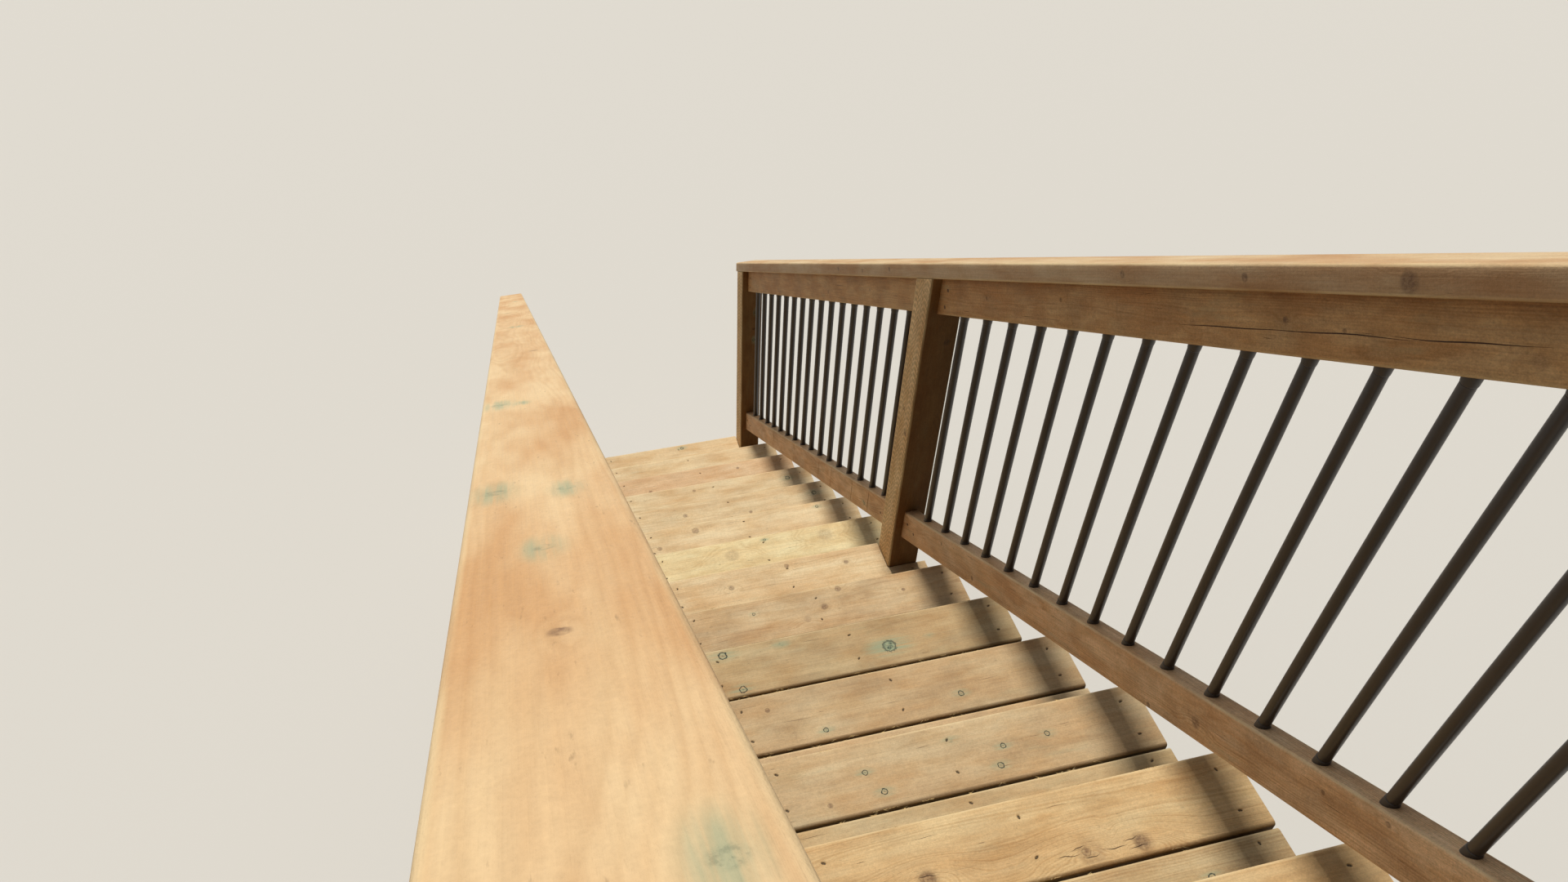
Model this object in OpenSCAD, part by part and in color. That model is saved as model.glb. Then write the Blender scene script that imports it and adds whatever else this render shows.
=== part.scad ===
// Wooden deck stairs: fifteen open treads of two boards each, carried by four sawn stringers,
// with a post and baluster railing on both sides.
// Frame: the origin is the centre of the hanger board's back face, the face that bears on the deck.
// +Y runs uphill into the deck, +Z is up, and +X is to the right of a person who climbs.

/* [Flight] */
// Height from one tread top to the next
rise = 178; // [160:1:190]
// Level distance from one nose to the next
run = 254; // [240:1:280]
// Clear width between the posts of the two railings
clear_width = 914; // [800:1:1100]

/* [Treads] */
// How far a tread's front edge stands out past the sawn step under it
nosing = 31; // [20:1:45]
// Thickness of a tread board
board_thick = 38; // [32:1:45]
// Open gap between the two boards of a tread
board_gap = 5.6; // [3:0.1:10]
// Rounding of a tread board's long edges
board_edge = 6; // [3:0.5:10]
// Length of tread that runs past the outer face of a post
tread_overhang = 25; // [10:1:50]

/* [Stringers] */
// Wood left under the inner corner of a step, square to the slope
throat = 140; // [110:1:180]
// Thickness of a stringer and of the hanger board
stringer_thick = 38; // [32:1:45]
// Distance between the middles of the two inner stringers
inner_spacing = 331; // [280:1:380]
// Diameter of the through holes for the deck bolts
deck_bolt_hole = 13; // [10:0.5:16]

/* [Posts] */
// Side of a square post
post_side = 89; // [76:1:100]
// Distance of a post's downhill face behind the nose of its tread
post_setback = 9; // [5:1:20]
// Play around a post where a tread board is notched for it
notch_play = 2; // [1:0.5:4]
// Rounding of a post's upright edges
post_edge = 4; // [2:0.5:8]

/* [Rails] */
// Plumb height of the handrail cap's underside above the line of noses
cap_height = 984; // [860:1:1050]
// Plumb height of the bottom rail's underside above the line of noses
bottom_rail_height = 59; // [40:1:90]
// Broad side of the cap and rail boards
rail_width = 89; // [76:1:100]
// Thin side of the cap and rail boards
rail_thick = 38; // [32:1:45]
// Rounding of the cap and rail edges
rail_edge = 5; // [2:0.5:8]
// Length of the cap past the bottom post's downhill face
cap_overrun = 20; // [5:1:40]

/* [Balusters] */
// Diameter of a baluster
baluster_d = 19; // [14:0.5:26]
// Largest distance between the middles of two balusters
baluster_pitch = 105; // [95:1:120]
// Wall of the collar that holds a baluster's end
collar_wall = 2; // [1:0.5:4]
// Shortest height of a collar, on its uphill side at the foot
collar_lip = 4; // [2:0.5:8]

/* [Hidden] */
$fn = 48;
tread_count = 15;
middle_tread = ceil(tread_count / 2);

// Slope of the flight
slope = rise / run;
pitch_angle = atan(slope);
plumb = 1 / cos(pitch_angle);

// Tread boards: two boards and their gap fill the run and the nosing
board_width = (run + nosing - board_gap) / 2;
tread_length = clear_width + 2 * (post_side + tread_overhang);
seat_play = 0.3;

// Railing lines across the stair
post_inner = clear_width / 2;
post_outer = post_inner + post_side;
post_middle = post_inner + post_side / 2;
stringer_inner_face = post_outer - stringer_thick;
inner_stringer_x = inner_spacing / 2;
outer_stringer_x = post_outer - stringer_thick / 2;

// The stringer is sawn from one board, and its uncut depth is a throat and a tooth
tooth = run * sin(pitch_angle);
stringer_depth = throat + tooth;
stringer_drop = stringer_depth * plumb;
hanger_front = -stringer_thick;
hanger_height = stringer_depth;
hanger_width = 2 * post_outer;
hanger_bottom = -hanger_height / 2;
bolt_row_x = (inner_stringer_x + post_inner) / 2;
bolt_row_z = hanger_height * 0.32;

// Levels: the hanger board's bottom is flush with the stringers' plumb ends
top_seat_z = hanger_bottom + throat * plumb;
ground_z = top_seat_z + board_thick - tread_count * rise;
function seat_z(k) = ground_z + k * rise - board_thick;
function step_y(k) = hanger_front - (tread_count + 1 - k) * run;
function nose_y(k) = step_y(k) - nosing;
function nosing_z(y) = ground_z + rise + (y - nose_y(1)) * slope;

// The stringer's lower edge meets the ground here
foot_back_y = step_y(1) + (stringer_drop - rise + board_thick) / slope;

// Posts, bottom to top: the treads they pass, their downhill faces and their lower ends
post_tread = [1, middle_tread, tread_count];
post_y = [nose_y(1) + post_setback, nose_y(middle_tread) + post_setback, hanger_front - post_side];
tail_margin = 12;
tail_drop = stringer_drop - (post_setback + post_side - nosing) * slope - tail_margin;
post_foot = [ground_z, seat_z(middle_tread) - tail_drop, hanger_bottom];
post_front_cut = [post_setback + notch_play, post_setback + notch_play, notch_play];

// Rails: plumb heights of their faces above the line of noses
rail_plumb = rail_width * plumb;
bottom_rail_top = bottom_rail_height + rail_plumb;
upper_rail_foot = cap_height - rail_plumb;
cap_end_y = post_y[0] - cap_overrun;

// Collars
collar_d = baluster_d + 2 * collar_wall;
collar_rise = collar_d / 2 * slope;

// Cutting blocks are larger than anything they cut
block = 12000;
skin = 1;

wood_tread = [0.80, 0.63, 0.40];
wood_frame = [0.72, 0.55, 0.34];
wood_post = [0.70, 0.50, 0.27];
wood_rail = [0.74, 0.53, 0.32];
dark_metal = [0.16, 0.13, 0.11];
dark_plastic = [0.20, 0.17, 0.15];

// Section of a board with rounded corners: width across, thickness upward from zero
module board_section(width, thick, edge) {
    union() {
        translate([-width / 2 + edge, 0])
            square([width - 2 * edge, thick]);
        translate([-width / 2, edge])
            square([width, thick - 2 * edge]);
        for (sx = [-1, 1])
            for (y = [edge, thick - edge])
                translate([sx * (width / 2 - edge), y])
                    circle(r = edge);
    }
}

// Block under a sloped plane that passes the line of noses at a plumb height
module under_slope(lift) {
    translate([0, hanger_front, nosing_z(hanger_front) + lift])
        rotate([pitch_angle, 0, 0])
            translate([-block / 2, -block / 2, -block])
                cube(block);
}

// Block over the same kind of plane
module over_slope(lift) {
    translate([0, hanger_front, nosing_z(hanger_front) + lift])
        rotate([pitch_angle, 0, 0])
            translate([-block / 2, -block / 2, 0])
                cube(block);
}

// Board that lies along the slope and ends in two plumb cuts
module sloped_board(x, lift, width, thick, edge, y_low, y_high) {
    y_mid = (y_low + y_high) / 2;
    length = (y_high - y_low + 2 * (width + thick)) * plumb;
    intersection() {
        translate([x, y_mid, nosing_z(y_mid) + lift])
            rotate([pitch_angle + 90, 0, 0])
                linear_extrude(length, center = true)
                    board_section(width, thick, edge);
        translate([x - width, y_low, -block / 2])
            cube([2 * width, y_high - y_low, block]);
    }
}

// Play cut into the tread boards around one post
module post_play(side, p) {
    x_in = post_inner - notch_play;
    y_back = post_y[p] + post_side + notch_play;
    y_front = post_y[p] - post_front_cut[p];
    y_tail = post_y[p] - notch_play;
    level = seat_z(post_tread[p]);
    mirror([side < 0 ? 1 : 0, 0, 0]) {
        translate([x_in, y_front - skin, level - skin])
            cube([tread_length, y_back - y_front + skin, board_thick + 2 * skin]);
        translate([x_in, y_tail, post_foot[p] - skin])
            cube([stringer_inner_face + notch_play - x_in, y_back - y_tail, level - post_foot[p] + skin]);
    }
}

// One tread: two boards that lie on the stringers' steps, notched where a post passes
module tread(k) {
    color(wood_tread)
        difference() {
            for (y = [nose_y(k) + board_width / 2, step_y(k + 1) - board_width / 2 - seat_play])
                translate([0, y, seat_z(k)])
                    rotate([90, 0, 90])
                        linear_extrude(tread_length, center = true)
                            board_section(board_width, board_thick, board_edge);
            for (side = [-1, 1])
                for (p = [0 : len(post_y) - 1])
                    post_play(side, p);
        }
}

// Saw-tooth outline of a stringer, from its foot up the steps and back along the lower edge
stringer_outline = concat(
    [[step_y(1), ground_z]],
    [for (k = [1 : tread_count]) for (end = [0, 1]) [step_y(k + end), seat_z(k)]],
    [[hanger_front, hanger_bottom], [foot_back_y, ground_z]]
);

module stringer(x) {
    color(wood_frame)
        translate([x, 0, 0])
            rotate([90, 0, 90])
                linear_extrude(stringer_thick, center = true)
                    polygon(stringer_outline);
}

// Post: its outer part ends in a shoulder on the stringer's step, the rest laps the stringer's inner face
module post(side, p) {
    x_mid = side * post_middle;
    y_mid = post_y[p] + post_side / 2;
    shoulder = seat_z(post_tread[p]);
    color(wood_post)
        difference() {
            translate([x_mid, y_mid - post_side / 2, post_foot[p]])
                linear_extrude(block / 4)
                    rotate([0, 0, 90])
                        translate([post_side / 2, -post_side / 2])
                            board_section(post_side, post_side, post_edge);
            mirror([side < 0 ? 1 : 0, 0, 0])
                translate([stringer_inner_face, post_y[p] - skin, post_foot[p] - skin])
                    cube([stringer_thick + skin, post_side + 2 * skin, shoulder - post_foot[p] + skin]);
            over_slope(cap_height);
        }
}

// Handrail cap: a board laid flat over the posts and the upper rails
module cap(side) {
    color(wood_rail)
        sloped_board(side * post_middle, cap_height, rail_width, rail_thick, rail_edge, cap_end_y, hanger_front);
}

// Upper and bottom rails stand on edge between two posts
module upper_rail(side, bay) {
    color(wood_rail)
        sloped_board(side * post_middle, upper_rail_foot, rail_thick, rail_width, rail_edge,
            post_y[bay] + post_side, post_y[bay + 1]);
}

module bottom_rail(side, bay) {
    color(wood_rail)
        sloped_board(side * post_middle, bottom_rail_height, rail_thick, rail_width, rail_edge,
            post_y[bay] + post_side, post_y[bay + 1]);
}

// Baluster middles of one bay, spread evenly between its two posts
function bay_clear(bay) = post_y[bay + 1] - post_y[bay] - post_side;
function bay_gaps(bay) = ceil(bay_clear(bay) / baluster_pitch);
function bay_y(bay, i) = post_y[bay] + post_side + i * bay_clear(bay) / bay_gaps(bay);
function foot_z(y) = nosing_z(y) + bottom_rail_top + collar_rise + collar_lip;
function head_z(y) = nosing_z(y) + upper_rail_foot - collar_rise - collar_lip;

module balusters(side, bay) {
    color(dark_metal)
        for (i = [1 : bay_gaps(bay) - 1])
            translate([side * post_middle, bay_y(bay, i), foot_z(bay_y(bay, i))])
                cylinder(d = baluster_d, h = head_z(bay_y(bay, i)) - foot_z(bay_y(bay, i)));
}

// Collars: short sockets cut to the slope, on the bottom rail and under the upper rail
module collars(side, bay) {
    height = 2 * collar_rise + 2 * collar_lip;
    color(dark_plastic) {
        difference() {
            for (i = [1 : bay_gaps(bay) - 1])
                translate([side * post_middle, bay_y(bay, i), foot_z(bay_y(bay, i)) - height])
                    cylinder(d = collar_d, h = height);
            under_slope(bottom_rail_top);
        }
        difference() {
            for (i = [1 : bay_gaps(bay) - 1])
                translate([side * post_middle, bay_y(bay, i), head_z(bay_y(bay, i))])
                    cylinder(d = collar_d, h = height);
            over_slope(upper_rail_foot);
        }
    }
}

// Hanger board: carries the stringers' plumb ends and bolts to the deck
module hanger_board() {
    color(wood_frame)
        difference() {
            translate([-hanger_width / 2, hanger_front, hanger_bottom])
                cube([hanger_width, stringer_thick, hanger_height]);
            for (sx = [-1, 1])
                for (sz = [-1, 1])
                    translate([sx * bolt_row_x, hanger_front - skin, sz * bolt_row_z])
                        rotate([-90, 0, 0])
                            cylinder(d = deck_bolt_hole, h = stringer_thick + 2 * skin);
        }
}

module tread_01() { tread(1); }
module tread_02() { tread(2); }
module tread_03() { tread(3); }
module tread_04() { tread(4); }
module tread_05() { tread(5); }
module tread_06() { tread(6); }
module tread_07() { tread(7); }
module tread_08() { tread(8); }
module tread_09() { tread(9); }
module tread_10() { tread(10); }
module tread_11() { tread(11); }
module tread_12() { tread(12); }
module tread_13() { tread(13); }
module tread_14() { tread(14); }
module tread_15() { tread(15); }
module stringer_left_outer() { stringer(-outer_stringer_x); }
module stringer_left_inner() { stringer(-inner_stringer_x); }
module stringer_right_inner() { stringer(inner_stringer_x); }
module stringer_right_outer() { stringer(outer_stringer_x); }
module post_left_bottom() { post(-1, 0); }
module post_left_middle() { post(-1, 1); }
module post_left_top() { post(-1, 2); }
module post_right_bottom() { post(1, 0); }
module post_right_middle() { post(1, 1); }
module post_right_top() { post(1, 2); }
module cap_left() { cap(-1); }
module cap_right() { cap(1); }
module upper_rail_left_lower() { upper_rail(-1, 0); }
module upper_rail_left_upper() { upper_rail(-1, 1); }
module upper_rail_right_lower() { upper_rail(1, 0); }
module upper_rail_right_upper() { upper_rail(1, 1); }
module bottom_rail_left_lower() { bottom_rail(-1, 0); }
module bottom_rail_left_upper() { bottom_rail(-1, 1); }
module bottom_rail_right_lower() { bottom_rail(1, 0); }
module bottom_rail_right_upper() { bottom_rail(1, 1); }
module balusters_left_lower() { balusters(-1, 0); }
module balusters_left_upper() { balusters(-1, 1); }
module balusters_right_lower() { balusters(1, 0); }
module balusters_right_upper() { balusters(1, 1); }
module collars_left_lower() { collars(-1, 0); }
module collars_left_upper() { collars(-1, 1); }
module collars_right_lower() { collars(1, 0); }
module collars_right_upper() { collars(1, 1); }

tread_01();
tread_02();
tread_03();
tread_04();
tread_05();
tread_06();
tread_07();
tread_08();
tread_09();
tread_10();
tread_11();
tread_12();
tread_13();
tread_14();
tread_15();
stringer_left_outer();
stringer_left_inner();
stringer_right_inner();
stringer_right_outer();
hanger_board();
post_left_bottom();
post_left_middle();
post_left_top();
post_right_bottom();
post_right_middle();
post_right_top();
cap_left();
cap_right();
upper_rail_left_lower();
upper_rail_left_upper();
upper_rail_right_lower();
upper_rail_right_upper();
bottom_rail_left_lower();
bottom_rail_left_upper();
bottom_rail_right_lower();
bottom_rail_right_upper();
balusters_left_lower();
balusters_left_upper();
balusters_right_lower();
balusters_right_upper();
collars_left_lower();
collars_left_upper();
collars_right_lower();
collars_right_upper();
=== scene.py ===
# %% [markdown]
# # Wooden deck stairs
# A straight flight of open wooden treads between two railings, seen from its top, looking down over the
# handrail. The solid frame holds the size and place of every board, post and baluster. This script gives
# them what a saw, a planer, a treating plant, rain and boots give real lumber: eased edges, year rings,
# knots, screws, torn fibres and incised posts.

# %% Load the frame
import math

import bmesh
import bpy
import numpy as np
from mathutils import Matrix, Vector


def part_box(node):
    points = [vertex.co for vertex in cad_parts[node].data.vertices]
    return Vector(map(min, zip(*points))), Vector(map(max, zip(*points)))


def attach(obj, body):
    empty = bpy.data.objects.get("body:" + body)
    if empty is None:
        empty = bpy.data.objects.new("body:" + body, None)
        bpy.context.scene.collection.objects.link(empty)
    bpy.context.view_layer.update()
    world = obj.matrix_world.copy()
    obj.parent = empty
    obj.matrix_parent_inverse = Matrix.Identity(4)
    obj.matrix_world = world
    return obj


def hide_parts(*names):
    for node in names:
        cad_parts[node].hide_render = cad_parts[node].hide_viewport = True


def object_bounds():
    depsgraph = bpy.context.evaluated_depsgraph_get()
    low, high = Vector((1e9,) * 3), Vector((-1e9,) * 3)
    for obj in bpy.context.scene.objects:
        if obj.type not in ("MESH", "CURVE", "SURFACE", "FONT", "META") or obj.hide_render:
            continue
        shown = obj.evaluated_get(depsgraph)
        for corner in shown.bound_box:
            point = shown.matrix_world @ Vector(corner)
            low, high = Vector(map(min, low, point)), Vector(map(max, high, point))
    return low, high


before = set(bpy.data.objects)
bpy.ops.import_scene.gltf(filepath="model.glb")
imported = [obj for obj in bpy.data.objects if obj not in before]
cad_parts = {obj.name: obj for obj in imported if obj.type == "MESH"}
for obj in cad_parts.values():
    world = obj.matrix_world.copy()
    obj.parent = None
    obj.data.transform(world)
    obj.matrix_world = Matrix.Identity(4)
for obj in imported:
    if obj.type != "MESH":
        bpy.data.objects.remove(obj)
cad_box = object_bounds()
print("frame box, m:", [tuple(round(v, 4) for v in corner) for corner in cad_box])

# %% [markdown]
# ## Sizes read from the frame
# Everything is placed from the frame's own boxes, so no size is typed twice. The slope of the flight comes
# from two treads, and the directions along it and square to it carry all the sloped boards.

# %% Sizes of the flight
MM = 0.001
TREADS = [f"tread_{k:02d}" for k in range(1, 16)]
SIDES = {"left": -1, "right": 1}
tread_boxes = [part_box(name) for name in TREADS]
nose_y = np.array([low.y for low, _ in tread_boxes])
tread_top = np.array([high.z for _, high in tread_boxes])
run = nose_y[1] - nose_y[0]
rise = tread_top[1] - tread_top[0]
theta = math.atan2(rise, run)
foot_z = cad_box[0].z
board_thick = tread_boxes[1][1].z - tread_boxes[1][0].z
tread_depth = tread_boxes[1][1].y - tread_boxes[1][0].y
tread_half = tread_boxes[1][1].x
board_gap = 5.3 * MM
board_width = (tread_depth - board_gap) / 2
ALONG_X = np.array([1.0, 0.0, 0.0])
LEVEL_Y = np.array([0.0, 1.0, 0.0])
UP = np.array([0.0, 0.0, 1.0])
UPHILL = np.array([0.0, math.cos(theta), math.sin(theta)])
OFF_SLOPE = np.array([0.0, -math.sin(theta), math.cos(theta)])
print(f"rise {rise / MM:.1f} mm, run {run / MM:.1f} mm, slope {math.degrees(theta):.2f} degrees")
print(f"tread boards {board_width / MM:.1f} x {board_thick / MM:.1f} mm, feet at {foot_z:.3f} m")

# %% [markdown]
# ## Colour
# Colours are written as sRGB hex, as a paint chip would be read, and one function turns them into the linear
# values that light is computed with.

# %% Colour helper
def linear(hex_code):
    """sRGB to linear: value / 12.92 below 0.04045, else ((value + 0.055) / 1.055) to the power 2.4."""
    srgb = np.array([int(hex_code[i:i + 2], 16) for i in (1, 3, 5)]) / 255
    return np.where(srgb <= 0.04045, srgb / 12.92, ((srgb + 0.055) / 1.055) ** 2.4)


def rgba(hex_code):
    """The linear colour with full cover, as a shader socket takes it."""
    return (*linear(hex_code), 1.0)


print("a new board's tan in linear light:", linear("#cbae84").round(3))

# %% [markdown]
# ## One node at a time
# A material is a recipe of nodes. One function adds a node, sets its properties and fills its sockets with
# values or with other nodes' outputs, so that a recipe reads from top to bottom. The Mix node keeps its
# colour sockets under the numbers 6 and 7 and its colour output under 2, which get names here. So do settings
# that many nodes share: TIMES_PLUS is a first value times a second plus a third. A MapRange node turns the
# range from LOW to HIGH into the one from TO_LOW to TO_HIGH. That is 0 to 1 if left out, and 1 to 0 in FALL.

# %% Node helper
FACTOR, FIRST, SECOND = 0, 6, 7
MIX_COLOUR = {"data_type": "RGBA", "out": 2}
TIMES, PLUS, MINUS = {"operation": "MULTIPLY"}, {"operation": "ADD"}, {"operation": "SUBTRACT"}
TIMES_PLUS = {"operation": "MULTIPLY_ADD"}
LENGTH = {"operation": "LENGTH", "out": "Value"}
SMOOTH = {"interpolation_type": "SMOOTHSTEP"}
LOW, HIGH, TO_LOW, TO_HIGH = "From Min", "From Max", "To Min", "To Max"
FALL = {TO_LOW: 1.0, TO_HIGH: 0.0}


def fill(tree, node, sockets):
    """Sets a node's sockets to values, or links them to other nodes' outputs."""
    for name, value in sockets.items():
        if isinstance(value, bpy.types.NodeSocket):
            tree.links.new(value, node.inputs[name])
        else:
            node.inputs[name].default_value = value


def add(tree, kind, sockets=None, out=0, stops=None, **settings):
    """Adds a node of a kind with its properties, sockets and ramp stops set. Returns the output asked for,
    or the node itself where out is None."""
    node = tree.nodes.new("ShaderNode" + kind)
    for name, value in settings.items():
        setattr(node, name, value)
    fill(tree, node, sockets or {})
    if stops:
        elements = node.color_ramp.elements
        while len(elements) < len(stops):
            elements.new(0.5)
        for element, (place, grey) in zip(elements, stops):
            element.position, element.color = place, (grey, grey, grey, 1)
    return node if out is None else node.outputs[out]


def new_material(name):
    """An empty material with its output and a principled shader, returned as (material, tree, shader)."""
    material = bpy.data.materials.new(name)
    material.use_nodes = True
    tree = material.node_tree
    tree.nodes.clear()
    shader = add(tree, "BsdfPrincipled", out=None)
    add(tree, "OutputMaterial", {"Surface": shader.outputs["BSDF"]}, out=None)
    return material, tree, shader


print("one node function, and an empty material to fill")

# %% [markdown]
# ## Knots
# A knot is a branch that the trunk grew round. On a planed board it is a round plug with its own rings, a
# thin dark rim of bark, and fibres that swerve round it. Copper preservative gathers there, so many have a
# green rim and a faint green halo with tails along the grain. A random pattern could scatter them, but on a
# stair each one is seen, so they are listed board by board. Each point of a board carries its offset from a
# knot, counted in the knot's own radii, in one of two attributes, so that two knots' halos may overlap. This
# part of the recipe reads those offsets and paints the knot.

# %% Knot recipe
# A plug is a share of the colour of the wood round it
KNOT_HEART = (0.40, 0.34, 0.36)
KNOT_RIM = "#46331f"
COPPER_RIM = "#36433b"
COPPER_STAIN = "#90a184"
KNOT_REACH = 3.1
KNOT_STRETCH = 2.2
SWERVE_MM = 150.0


def read_knot(tree, grain, number):
    """One knot of attribute knot_1 or knot_2: distances in its radii, its kind and the swerve in mm."""
    spot = add(tree, "Attribute", out=None, attribute_name=f"knot_{number}")
    kind = add(tree, "Attribute", out=None, attribute_name=f"knot_kind_{number}")
    offset = spot.outputs["Vector"]
    along, across, _ = add(tree, "SeparateXYZ", {0: offset}, out=None).outputs
    stain, body, rim = add(tree, "SeparateColor", {0: kind.outputs["Color"]}, out=None).outputs
    ragged = add(tree, "TexNoise", {"Vector": grain, "Scale": 170.0, "Detail": 4.0, "Roughness": 0.65})
    uneven = add(tree, "MapRange", {"Value": ragged, LOW: 0.25, HIGH: 0.75, TO_LOW: 0.76, TO_HIGH: 1.26})
    away = add(tree, "VectorMath", {0: offset}, **LENGTH)
    ratio = add(tree, "Math", {0: away, 1: uneven}, **TIMES)
    slim = add(tree, "VectorMath", {0: offset, 1: (1 / KNOT_STRETCH, 1, 1)}, **TIMES)
    oval = add(tree, "VectorMath", {0: slim}, **LENGTH)
    inside = add(tree, "MapRange", {"Value": spot.outputs["Alpha"], LOW: 0.6, **FALL}, **SMOOTH)
    near = add(tree, "MapRange", {"Value": oval, LOW: 0.35, HIGH: KNOT_REACH, **FALL},
               interpolation_type="SMOOTHERSTEP")
    near = add(tree, "Math", {0: near, 1: inside}, **TIMES)
    size = add(tree, "Math", {0: kind.outputs["Alpha"], 1: SWERVE_MM}, **TIMES)
    swerve = add(tree, "Math", {0: near, 1: size}, **TIMES)
    return {"along": along, "across": across, "ratio": ratio, "oval": oval, "inside": inside,
            "ragged": ragged, "stain": stain, "body": body, "rim": rim, "swerve": swerve}


def paint_knot(tree, colour, relief, streak, knot):
    """Lays halo, heart and rim over a colour, and sinks the rim in a relief in mm."""
    fading = {"Value": knot["oval"], LOW: 0.7, HIGH: 2.6, TO_LOW: 0.75, TO_HIGH: 0.0}
    halo = add(tree, "MapRange", fading, **SMOOTH)
    patchy = add(tree, "MapRange", {"Value": streak, LOW: 0.35, HIGH: 0.62})
    for factor in (patchy, knot["inside"], knot["stain"]):
        halo = add(tree, "Math", {0: halo, 1: factor}, **TIMES)
    colour = add(tree, "Mix", {FACTOR: halo, FIRST: colour, SECOND: rgba(COPPER_STAIN)}, **MIX_COLOUR)
    plug = add(tree, "VectorMath", {0: colour, 1: KNOT_HEART}, **TIMES)
    heart = add(tree, "Mix", {FACTOR: knot["stain"], FIRST: plug, SECOND: rgba(COPPER_STAIN)}, **MIX_COLOUR)
    mottle = add(tree, "MapRange", {"Value": knot["ragged"], LOW: 0.35, HIGH: 0.6, TO_LOW: 0.35})
    cover = add(tree, "MapRange", {"Value": knot["ratio"], LOW: 0.65, HIGH: 1.2, **FALL}, **SMOOTH)
    for factor in (mottle, knot["body"]):
        cover = add(tree, "Math", {0: cover, 1: factor}, **TIMES)
    colour = add(tree, "Mix", {FACTOR: cover, FIRST: colour, SECOND: heart}, **MIX_COLOUR)
    bark = add(tree, "Math", {0: knot["ratio"], 1: 1.0}, **MINUS)
    bark = add(tree, "Math", {0: bark}, operation="ABSOLUTE")
    bark = add(tree, "MapRange", {"Value": bark, LOW: 0.07, HIGH: 0.25, **FALL})
    speck = add(tree, "MapRange", {"Value": knot["ragged"], LOW: 0.47, HIGH: 0.57, TO_HIGH: 0.95})
    for factor in (cover, knot["stain"]):
        speck = add(tree, "Math", {0: speck, 1: factor}, **TIMES)
    pith = add(tree, "MapRange", {"Value": knot["ratio"], LOW: 0.08, HIGH: 0.28, TO_LOW: 0.6, TO_HIGH: 0.0})
    line = add(tree, "Math", {0: bark, 1: pith}, operation="MAXIMUM")
    line = add(tree, "Math", {0: line, 1: knot["rim"]}, **TIMES)
    split = add(tree, "Math", {0: knot["along"], 1: 0.35, 2: knot["across"]}, **TIMES_PLUS)
    split = add(tree, "Math", {0: split, 1: 0.0, 2: 0.05}, operation="COMPARE")
    short = add(tree, "MapRange", {"Value": knot["ratio"], LOW: 0.4, HIGH: 0.8, TO_LOW: 0.7, TO_HIGH: 0.0})
    for factor in (short, knot["rim"]):
        split = add(tree, "Math", {0: split, 1: factor}, **TIMES)
    for dark in (split, speck):
        line = add(tree, "Math", {0: line, 1: dark}, operation="MAXIMUM")
    rims = {FIRST: rgba(KNOT_RIM), SECOND: rgba(COPPER_RIM)}
    edge = add(tree, "Mix", {FACTOR: knot["stain"], **rims}, **MIX_COLOUR)
    colour = add(tree, "Mix", {FACTOR: line, FIRST: colour, SECOND: edge}, **MIX_COLOUR)
    relief = add(tree, "Math", {0: line, 1: -0.35, 2: relief}, **TIMES_PLUS)
    return colour, relief


print("knots bend the rings out to", KNOT_REACH, "radii across the grain")

# %% [markdown]
# ## Incised posts
# Thick posts don't soak well, so toothed rollers cut rows of short slits into two of their faces before
# treatment. Each slit is about 15 mm long and 3 mm wide, and each row is shifted by its own share of a step.
# There are thousands, so they are drawn and not modelled: a row number and a place in the row are worked
# out from the board's own coordinates, and a slit is where both are near their middle.

# %% Incision recipe
SLIT_ROW_MM = 6.0
SLIT_STEP_MM = 19.0
SLIT_HALF_LENGTH = 0.4
SLIT_HALF_WIDTH = 0.24
SLIT_PAINTED_SHADE = "#54381a"


def incisions(tree, grain, place, cut_face, colour, relief):
    """Cuts staggered slits into a colour and a relief in mm, where cut_face is 1."""
    shake = add(tree, "TexNoise", {"Vector": grain, "Scale": 24.0, "Detail": 1.0})
    shake = add(tree, "MapRange", {"Value": shake, TO_LOW: -0.003, TO_HIGH: 0.003})
    girth = add(tree, "Math", {0: place[2], 1: shake}, **PLUS)
    row = add(tree, "Math", {0: girth, 1: SLIT_ROW_MM * MM}, operation="DIVIDE")
    number = add(tree, "Math", {0: row}, operation="FLOOR")
    chance = add(tree, "TexWhiteNoise", {"W": number}, noise_dimensions="1D")
    shift = add(tree, "Math", {0: number, 1: 0.5, 2: chance}, **TIMES_PLUS)
    step = add(tree, "Math", {0: place[0], 1: 1 / (SLIT_STEP_MM * MM), 2: shift}, **TIMES_PLUS)
    offsets = []
    for place_in_step, half in ((row, SLIT_HALF_WIDTH), (step, SLIT_HALF_LENGTH)):
        away = add(tree, "Math", {0: place_in_step}, operation="FRACT")
        away = add(tree, "Math", {0: away, 1: 0.5}, **MINUS)
        away = add(tree, "Math", {0: away}, operation="ABSOLUTE")
        offsets.append(add(tree, "Math", {0: away, 1: half}, operation="DIVIDE"))
    eye = add(tree, "CombineXYZ", {0: offsets[0], 1: offsets[1]})
    eye = add(tree, "VectorMath", {0: eye}, **LENGTH)
    slit = add(tree, "MapRange", {"Value": eye, LOW: 0.75, HIGH: 1.1, **FALL})
    slit = add(tree, "Math", {0: slit, 1: cut_face}, **TIMES)
    # The slits are painted dark: painted shade inside the cuts
    dark = add(tree, "Math", {0: slit, 1: 0.62}, **TIMES)
    colour = add(tree, "Mix", {FACTOR: dark, FIRST: colour, SECOND: rgba(SLIT_PAINTED_SHADE)}, **MIX_COLOUR)
    relief = add(tree, "Math", {0: slit, 1: -1.3, 2: relief}, **TIMES_PLUS)
    return colour, relief


print("slits every", SLIT_STEP_MM, "mm in rows", SLIT_ROW_MM, "mm apart")
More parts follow.
